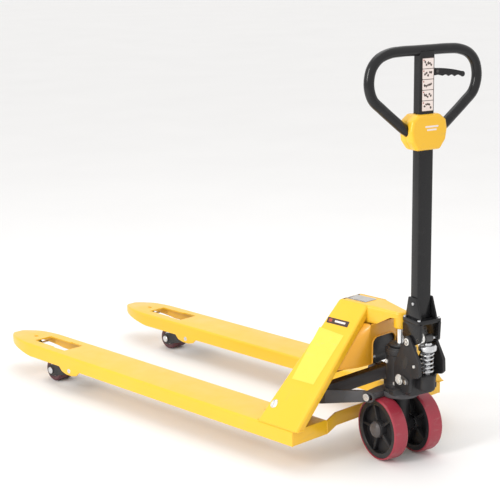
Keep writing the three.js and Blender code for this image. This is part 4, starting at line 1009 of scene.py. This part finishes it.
def pump_shafts():
    """Gland, handle shaft, release valve and steer axle."""
    place = STEERED_MM
    gland = [(15.7, 341.6), (35.5, 341.6, 1), (36, 346, 1), (33.5, 349, 1), (22, 349, 0.6), (21, 350.6, 0.6),
             (15.7, 350.6, 0.6)]
    piece("pump_gland_turned", Shape().lathe(fillet(gland, 3), place, 96), CASTING,
          "pump", ("pump_gland",))
    shaft = both_ends([(0.0, -52.4), (10, -52.4), (11, -51.6), (11, -49.4), (8, -49.4)])
    pin("handle_shaft_turned", shaft, PALE_ZINC, "pump", at(0, PIVOT_Y, PIVOT_Z, place), ("handle_shaft",))
    rings = Shape()
    for x in (-53.2, 53.2):
        low = min(x, x - math.copysign(1.2, x))
        rings.lathe(drum(7.2, low, low + 1.2, 0.3, 5.0), at(0, PIVOT_Y, PIVOT_Z, place) @ ALONG_X, 36)
    piece("handle_shaft_clips", rings, STEEL, "pump")

    valve = Shape()
    lever = link_outline(VALVE_Y, VALVE_Z, 9, VALVE_Y + 18, VALVE_Z + 8, 6)
    valve.prism(lever, -55, -50, 1, plane_x(place))
    piece("release_lever_plate", valve, STEEL, "release_lever", ("release_lever",))
    stem = Shape().lathe(drum(4, -59, -49.4, 0.5), at(0, VALVE_Y, VALVE_Z, place) @ ALONG_X, 32)
    hexagon = arc((VALVE_Y, VALVE_Z), 7, 0, TAU * 5 / 6, 5)
    stem.prism(hexagon, -60, -55.4, 1.0, plane_x(place))
    piece("valve_stem_turned", stem, ZINC, "pump", ("valve_stem",))
    pin("steer_axle_turned", drum(12.6, -87, 87, 1.2), STEEL, "pump",
        at(0, 0, WHEEL_R, place), ("steer_axle",))


def plunger_cap():
    skirt = SPRING_TOP + 0.4
    cap = [(0.0, 281), (9.5, 281, 0.8), (9.5, skirt), (19, skirt, 1), (26.6, skirt + 6, 2),
           (26.9, CAP_TOP - 12, 3), (22, CAP_TOP - 7, 2), (13, CAP_TOP - 6, 1.5), (12, CAP_TOP - 0.4, 1.2),
           (0.0, CAP_TOP - 0.4)]
    shape = Shape().lathe(fillet(cap, 4), at(0, PLUNGER_Y, 0, STEERED_MM), 72)
    piece("plunger_cap", shape, ZINC, "plunger", ("pump_plunger",))


def return_spring():
    """The plunger's coil spring, drawn at rest and riding with the pump; on the real truck it is squashed as
    the plunger goes down.
    """
    place = at(0, PLUNGER_Y, 0, STEERED_MM)
    steps = SPRING_COILS * 40
    r = SPRING_R - SPRING_WIRE
    rise = SPRING_TOP - SPRING_BOTTOM - 2 * SPRING_WIRE
    path = []
    for k in range(steps + 1):
        turn = TAU * SPRING_COILS * k / steps
        path.append((r * math.cos(turn), r * math.sin(turn), SPRING_BOTTOM + SPRING_WIRE + rise * k / steps))
    shape = Shape().tube(path, SPRING_WIRE - 0.1, place, 14)
    made = piece("return_spring", shape, ZINC, "pump", ("pump_spring",))
    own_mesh(made)


# -------------------------------------------------------------- steer wheels
def wheel(word, side):
    place = at(side * WHEEL_X, 0, WHEEL_R, STEERED_MM) @ ALONG_X
    body = f"steer_wheel_{word}"
    tread = both_ends([(88.4, -23, 0.5), (89.5, -25, 0.8), (92.6, -23.4, 2), (94, -19, 3)])
    piece(f"tyre_{word}_moulding", Shape().lathe(fillet(tread, 4), place, 128), TYRE,
          body, (f"tyre_{word}",))
    hub = Shape()
    rim = both_ends([(73, -21, 1.5), (75, -23, 1), (88, -23, 1)]) + [(76, 5, 5), (76, -5, 5)]
    hub.lathe(fillet(rim, 4), place, 96)
    hub.lathe(fillet(both_ends([(13.4, -4, 0.3), (77, -4)]), 2), place, 96)
    core = both_ends([(13.4, -23, 0.6), (26, -23, 2), (28, -6, 4)])
    hub.lathe(fillet(core, 4), place, 72)
    for k in range(5):
        spoke = place @ Matrix.Rotation(TAU * k / 5 + 0.3, 4, "Z")
        plan = fillet([(24, -5.5, 1), (77, -3.6, 1), (77, 3.6, 1), (24, 5.5, 1)], 3)
        hub.prism(plan, -18, 18, 2.0, spoke, 3)
    piece(f"hub_{word}_casting", hub, CASTING, body, (f"wheel_hub_{word}",))
    inner = Matrix.Scale(-side, 4, (0, 0, 1))
    ring = [(13.5, 20), (23.4, 20), (23.4, 23.6), (22.4, 24.0), (19.4, 24.0), (18.8, 23.4), (17.6, 23.4),
            (17.0, 24.0), (13.5, 24.0)]
    piece(f"wheel_bearing_{word}", Shape().lathe(ring, place @ inner, 64), ZINC, body)
    outer = Matrix.Scale(side, 4, (0, 0, 1))
    cap = [(0.0, 23.6), (24, 23.6, 0.4), (24.4, 27.4, 1.2), (19.5, 33.4, 4), (10, 36.6, 5), (0.0, 37.3)]
    piece(f"wheel_cap_{word}_dome", Shape().lathe(fillet(cap, 5), place @ outer, 72),
          CAP_GREY, body, (f"wheel_cap_{word}",))


# -------------------------------------------------------------------- handle
HANDLE_Y, TUBE_W, TUBE_D = -91, 50, 34
BASE_TOP, LOOP_TOP, LOOP_R, LOOP_HALF = 450, 1235, 15, 204
BOSS_Z = 994
LEVER_X, LEVER_Z, LEVER_TIP = 36, 1160, 144
LUG_IN, LUG_OUT = 28.8, 38.4
STRIP_LOW, STRIP_HIGH = 1050, 150
ROLLER_PIN_Z = CAP_TOP + 12


def handle_foot():
    place = STEERED_MM
    shape = Shape()
    back, fore = HANDLE_Y - 46, HANDLE_Y + 32
    plan = rounded(-42, 42, back, fore, 5)
    shape.prism(plan, BASE_TOP - 12, BASE_TOP, 1.6, place, 3)
    gusset = fillet([(HANDLE_Y - 38, BASE_TOP - 1), (HANDLE_Y + 29, BASE_TOP - 1),
                     (HANDLE_Y + 29, BASE_TOP + 8, 6), (HANDLE_Y + 18, BASE_TOP + 62, 5),
                     (HANDLE_Y - 18, BASE_TOP + 62, 5), (HANDLE_Y - 38, BASE_TOP + 8, 8)], 4)
    inner = TUBE_W / 2 + 0.5
    for low in (-inner - 5.8, inner):
        shape.prism(gusset, low, low + 5.8, 1.2, plane_x(place))
    lug = [(PIVOT_Y + 30, BASE_TOP - 10), (PIVOT_Y + 36, BASE_TOP - 22), (PIVOT_Y + 34, PIVOT_Z + 10),
           (PIVOT_Y + 14, PIVOT_Z - 8)]
    lug += arc((PIVOT_Y, PIVOT_Z), 16, -0.18 * math.pi, -0.7 * math.pi, 14)
    lug += arc((PLUNGER_Y, ROLLER_PIN_Z), 11, -0.7 * math.pi, -math.pi, 8)
    lug += [(PLUNGER_Y - 14, BASE_TOP - 10)]
    for low in (-LUG_OUT, LUG_IN):
        shape.prism(lug, low, low + LUG_OUT - LUG_IN, 1.4, plane_x(place))
    piece("handle_foot_casting", shape, GLOSS_BLACK, "handle", ("handle_base",))


def handle_fittings():
    place = STEERED_MM
    screws = Shape()
    for sign in (-1, 1):
        for y in (HANDLE_Y - 40, HANDLE_Y + 26):
            cap_screw(screws, 4.5, 4, at(sign * 36, y, BASE_TOP, place))
        face = sign * (TUBE_W / 2 + 6.2)
        cap_screw(screws, 4.5, 3.4, at(face, HANDLE_Y - 6, BASE_TOP + 44, place) @ OUTWARD[sign])
    piece("handle_screws", screws, ZINC, "handle")

    pin("roller_pin_turned", drum(5, -38.4, 38.4, 0.6), ZINC, "handle",
        at(0, PLUNGER_Y, ROLLER_PIN_Z, place), ("plunger_roller_pin",))
    roller = fillet(both_ends([(5.4, -13, 0.4), (11.6, -13, 1.2)]), 3)
    pin("pump_roller_turned", roller, STEEL, "plunger_roller", at(0, PLUNGER_Y, ROLLER_PIN_Z, place),
        ("plunger_roller",))


def handle_mast():
    place = STEERED_MM
    half, deep = TUBE_W / 2, TUBE_D / 2
    top = LOOP_TOP - LOOP_R - 2
    outer = rounded(-half, half, HANDLE_Y - deep, HANDLE_Y + deep, 5, 5)
    inner = rounded(3 - half, half - 3, HANDLE_Y - deep + 3, HANDLE_Y + deep - 3, 2, 5)
    rings = [[(p.x, p.y, z) for p in ring] for ring, z in
             ((outer, BASE_TOP + 0.5), (outer, top), (inner, top), (inner, BASE_TOP + 0.5))]
    shape = Shape().rings(rings, place, closed=True)
    made = piece("handle_mast", shape, GLOSS_BLACK, "handle", ("handle_tube",))
    slot = Shape().block(half - 5, half + 5, HANDLE_Y - 6, HANDLE_Y + 6, LEVER_Z - 16, LEVER_Z + 12, 2, place)
    saddle = at(0, HANDLE_Y, LOOP_TOP - LOOP_R, place) @ ALONG_X
    carve(made, slot, Shape().lathe(drum(LOOP_R + 0.2, -40, 40, 0.1), saddle, 56))
    ears = Shape()
    plan = fillet([(half - 1, LEVER_Z - 12, 1), (LEVER_X + 9, LEVER_Z - 9, 8), (LEVER_X + 9, LEVER_Z + 7, 8),
                   (half - 1, LEVER_Z + 10, 1)], 5)
    for middle_y in (-9.5, 9.5):
        depth = -(HANDLE_Y + middle_y)
        ears.prism(plan, depth - 2.5, depth + 2.5, 0.8, plane_y(place))
    piece("lever_ears", ears, GLOSS_BLACK, "handle")
    profile = [(0.0, -15), (4.2, -14.6), (4.8, -13.4), (4.8, -12.4), (3, -12.2), (3, 13.4), (2.4, 14),
               (0.0, 14)]
    lever_pin = Shape().lathe(profile, at(LEVER_X, HANDLE_Y, LEVER_Z, place) @ TO_TIPS, 28)
    piece("lever_pin_turned", lever_pin, STEEL, "handle", ("lever_pin",))


LOOP_FOOT = [(34, 987), (62, 999), (104, 1031)]


def loop_route():
    half, top = LOOP_HALF - LOOP_R, LOOP_TOP - LOOP_R
    right = LOOP_FOOT + [(146, 1065), (176, 1092), (half - 1, 1122), (half, 1150), (half - 9, 1180),
                         (half - 32, 1204), (half - 68, 1217), (80, top), (27, top)]
    points = [(x, HANDLE_Y, z) for x, z in right] + [(-x, HANDLE_Y, z) for x, z in reversed(right)]
    return smooth_path(points, 7)


def handle_loop():
    shape = Shape().tube(loop_route(), LOOP_R - 0.1, STEERED_MM, 28)
    piece("handle_loop_tube", shape, GLOSS_BLACK, "handle", ("handle_loop",), 50)


def loop_cover():
    place = STEERED_MM
    corners = [(-65, BOSS_Z + 4, 12), (-60, BOSS_Z + 32, 10), (-38, BOSS_Z + 49, 12), (38, BOSS_Z + 49, 12),
               (60, BOSS_Z + 32, 10), (65, BOSS_Z + 4, 12), (60, BOSS_Z - 26, 12), (40, BOSS_Z - 53, 12),
               (-40, BOSS_Z - 53, 12), (-60, BOSS_Z - 26, 12)]
    outline = fillet(corners, 5)
    if area(outline) < 0:
        outline.reverse()
    deep = 30
    crown = 9
    for word, facing in (("front", -1), ("rear", 1)):
        rings = []
        for share in (0.0, 0.04, 0.55, 0.7, 0.82, 0.91, 0.97, 1.0):
            turn = max(0, (share - 0.55) / 0.45) * math.pi / 2
            shrink = crown * (1 - math.cos(turn)) if share > 0.55 else (0.6 if share == 0.0 else 0.0)
            lift = 0.4 + (deep - crown - 0.4) * min(share / 0.55, 1) + (crown - 0.1) * math.sin(turn)
            rings.append([(p.x, HANDLE_Y + facing * lift, p.y) for p in inset(outline, shrink + 0.2)])
        shape = Shape().rings(rings, place)
        made = piece(f"loop_cover_{word}_moulding", shape, YELLOW, "handle",
                     (f"loop_cover_{word}",), 50)
        tube = Shape().block(-TUBE_W / 2 - 0.5, TUBE_W / 2 + 0.5, HANDLE_Y - TUBE_D / 2 - 0.5,
                             HANDLE_Y + TUBE_D / 2 + 0.5, 900, 1080, 5, place)
        bars = []
        for sign in (-1, 1):
            lead = [(sign * x, HANDLE_Y, z) for x, z in [(26, 984)] + LOOP_FOOT]
            bars.append(Shape().tube(smooth_path(lead, 5), LOOP_R + 0.6, place, 28))
        carve(made, tube, *bars)
    screws = Shape()
    for x in (-46, 46):
        screws.lathe([(0.0, 0.6), (2.4, 0.6), (2.4, 1.3), (4.4, 1.2), (5, 0.4), (5, -1), (0.0, -1)],
                     at(x, HANDLE_Y + deep - 0.6, BOSS_Z - 14, place) @ TO_TIPS, 28)
    piece("loop_cover_screws", screws, ZINC, "handle")
    bars = Shape()
    for x0, x1, z in ((-16, 30, 1006), (-10, 24, 997)):
        bar = rounded(x0, x1, z, z + 5, 2)
        bars.prism(bar, 29.7 - HANDLE_Y, 30.2 - HANDLE_Y, 0.15, plane_y(place), 1)
    piece("cover_plain_bars", bars, FILM_PALE, "handle")


def lever_outline():
    """A long blade with finger scallops below and a round eye at its tip."""
    def bend(start, control, end, steps=8):
        result = []
        for k in range(1, steps + 1):
            t = k / steps
            result.append(tuple((1 - t) ** 2 * s + 2 * t * (1 - t) * c + t * t * e
                                for s, c, e in zip(start, control, end)))
        return result

    points = [(LEVER_X - 4, LEVER_Z + 8)]
    points += bend(points[-1], (LEVER_X + 50, LEVER_Z + 6), (LEVER_TIP - 10, LEVER_Z - 7), 14)
    points += arc((LEVER_TIP - 8, LEVER_Z - 15), 8, math.pi / 2, -math.pi / 2, 14)
    for i in range(3):
        x = LEVER_TIP - 14 - i * 22
        points += bend(points[-1], (x - 11, LEVER_Z - 12 + i), (x - 22, LEVER_Z - 20 + i * 2), 8)
    points.append((LEVER_X + 12, LEVER_Z - 12))
    points += arc((LEVER_X, LEVER_Z - 4), 9, -0.4 * math.pi, -1.05 * math.pi, 12)
    return points


def finger_lever():
    place = STEERED_MM
    depth = -HANDLE_Y
    shape = Shape().prism(lever_outline(), depth - 4.5, depth + 4.5, 1.6, plane_y(place), 3)
    made = piece("finger_lever_pressing", shape, GLOSS_BLACK, "finger_lever", ("finger_lever",))
    eye = at(LEVER_TIP - 8, HANDLE_Y, LEVER_Z - 15, place) @ TO_OPERATOR
    carve(made, Shape().lathe(drum(3.6, -12, 12, 0.1), eye, 28))
    rib = Shape()
    route = [(LEVER_X + 6, LEVER_Z + 1), (LEVER_X + 40, LEVER_Z), (118, LEVER_Z - 8)]
    for facing in (-1, 1):
        path = smooth_path([(x, HANDLE_Y + facing * 4.2, z) for x, z in route], 6)
        rib.tube(path, 1.3, place, 8)
    piece("finger_lever_ribs", rib, GLOSS_BLACK, "finger_lever")


def pull_rod():
    place = STEERED_MM
    shape = Shape().lathe(drum(4, 430, 1140, 0.6), at(0, HANDLE_Y, 0, place), 28)
    shape.lathe(drum(6, 424, 431, 0.8), at(0, HANDLE_Y, 0, place), 28)
    shape.block(-7, 12, HANDLE_Y - 4, HANDLE_Y + 4, 1126, 1141, 1, place)
    piece("pull_rod_turned", shape, ZINC, "pull_rod", ("pull_rod",))


def pictograms():
    """Five pale cells with random blobs and a red dot each, and no lettering."""
    place = STEERED_MM
    front = -(HANDLE_Y - TUBE_D / 2 - 0.3)
    face = plane_y(place)
    backing = rounded(-21, 21, STRIP_LOW, STRIP_LOW + STRIP_HIGH, 2)
    shape = Shape().prism(backing, front + 0.05, front + 0.5, 0.1, face, 1)
    piece("pictogram_backing", shape, FILM_DARK, "handle", ("pictogram_strip",))
    cells, dark, red = Shape(), Shape(), Shape()
    gap = 1.8
    height = (STRIP_HIGH - gap * 6) / 5
    for k in range(5):
        low = STRIP_LOW + gap + k * (height + gap)
        cell = rounded(-19.2, 19.2, low, low + height, 1.5, 3)
        cells.prism(cell, front + 0.5, front + 0.75, 0.05, face, 1)
        lift = (front + 0.74, front + 0.86)
        for n in range(5):
            across, up = -11 + 5.5 * n, low + height / 2 + rng.uniform(-5, 5)
            blob = [(across + rng.uniform(2.0, 4.2) * math.cos(t), up + rng.uniform(2.0, 5.2) * math.sin(t))
                    for t in [TAU * m / 11 for m in range(11)]]
            dark.prism(blob, *lift, 0.02, face, 1)
        dot = arc((-15, low + height - 5), 2.2, 0, TAU * 9 / 10, 9)
        red.prism(dot, *lift, 0.02, face, 1)
    piece("pictogram_cells", cells, FILM_PALE, "handle")
    piece("pictogram_marks_dark", dark, FILM_DARK, "handle")
    piece("pictogram_marks_red", red, FILM_RED, "handle")


# --------------------------------------------------------- everything in place
def floor_material():
    s = Shader("studio_floor")
    tone = s.mix(s.noise(1.4, 3), (0.86, 0.86, 0.86), (0.9, 0.9, 0.9))
    s.bump((s.noise(60, 3), 0.0005, 0.05))
    return s.finish(tone, s.remap(s.noise(3, 3), 0.3, 0.7, 0.6, 0.75))


def studio():
    work = bmesh.new()
    bmesh.ops.create_grid(work, x_segments=8, y_segments=8, size=30)
    mesh = bpy.data.meshes.new("floor")
    work.to_mesh(mesh)
    work.free()
    mesh.materials.append(floor_material())
    floor = bpy.data.objects.new("floor", mesh)
    floor.location.z = -0.0005
    bpy.context.collection.objects.link(floor)

    bpy.context.scene.view_settings.view_transform = "Standard"
    world = bpy.data.worlds.new("studio")
    bpy.context.scene.world = world
    world.use_nodes = True
    background = world.node_tree.nodes["Background"]
    background.inputs["Color"].default_value = (1.0, 0.99, 0.98, 1.0)
    background.inputs["Strength"].default_value = 1.0

    def softbox(name, spot, aim, size, power, tint=(1, 1, 1)):
        lamp = bpy.data.lights.new(name, "AREA")
        lamp.shape = "RECTANGLE"
        lamp.size, lamp.size_y = size
        lamp.energy = power
        lamp.color = tint
        made = bpy.data.objects.new(name, lamp)
        made.location = spot
        made.rotation_euler = (Vector(aim) - Vector(spot)).to_track_quat("-Z", "Y").to_euler()
        bpy.context.collection.objects.link(made)

    centre = (0, 0, 0.4)
    softbox("key", (-3.4, -0.5, 2.2), centre, (0.7, 1.8), 70, (1, 0.98, 0.95))
    softbox("overhead", (0.3, 0.2, 3.4), centre, (1.6, 3.0), 25)


def camera():
    data = bpy.data.cameras.new("camera")
    data.lens = 104.546
    data.sensor_width = 36
    data.clip_end = 60
    made = bpy.data.objects.new("camera", data)
    azimuth, elevation, roll = (math.radians(d) for d in (-44.0844, 13.0691, -0.7023))
    right = Vector((math.cos(azimuth), math.sin(azimuth), 0))
    back = Vector((math.sin(azimuth) * math.cos(elevation), -math.cos(azimuth) * math.cos(elevation),
                   math.sin(elevation)))
    up = back.cross(right)
    rolled_right = right * math.cos(roll) + up * math.sin(roll)
    rolled_up = up * math.cos(roll) - right * math.sin(roll)
    turn = Matrix((rolled_right, rolled_up, back)).transposed().to_4x4()
    aim = Vector((-0.2312, -0.30986, 0.60722))
    made.matrix_world = Matrix.Translation(aim + back * 4.37688) @ turn
    bpy.context.collection.objects.link(made)
    bpy.context.scene.camera = made


chassis_pieces()
leg_labels()
head_plate()
linkage_pieces()
bracket_pieces()
pump_casting()
cheek_trim()
pump_fasteners()
pump_shafts()
plunger_cap()
return_spring()
for word, side in SIDES:
    wheel(word, side)
handle_foot()
handle_fittings()
handle_mast()
handle_loop()
loop_cover()
finger_lever()
pull_rod()
pictograms()
studio()
camera()
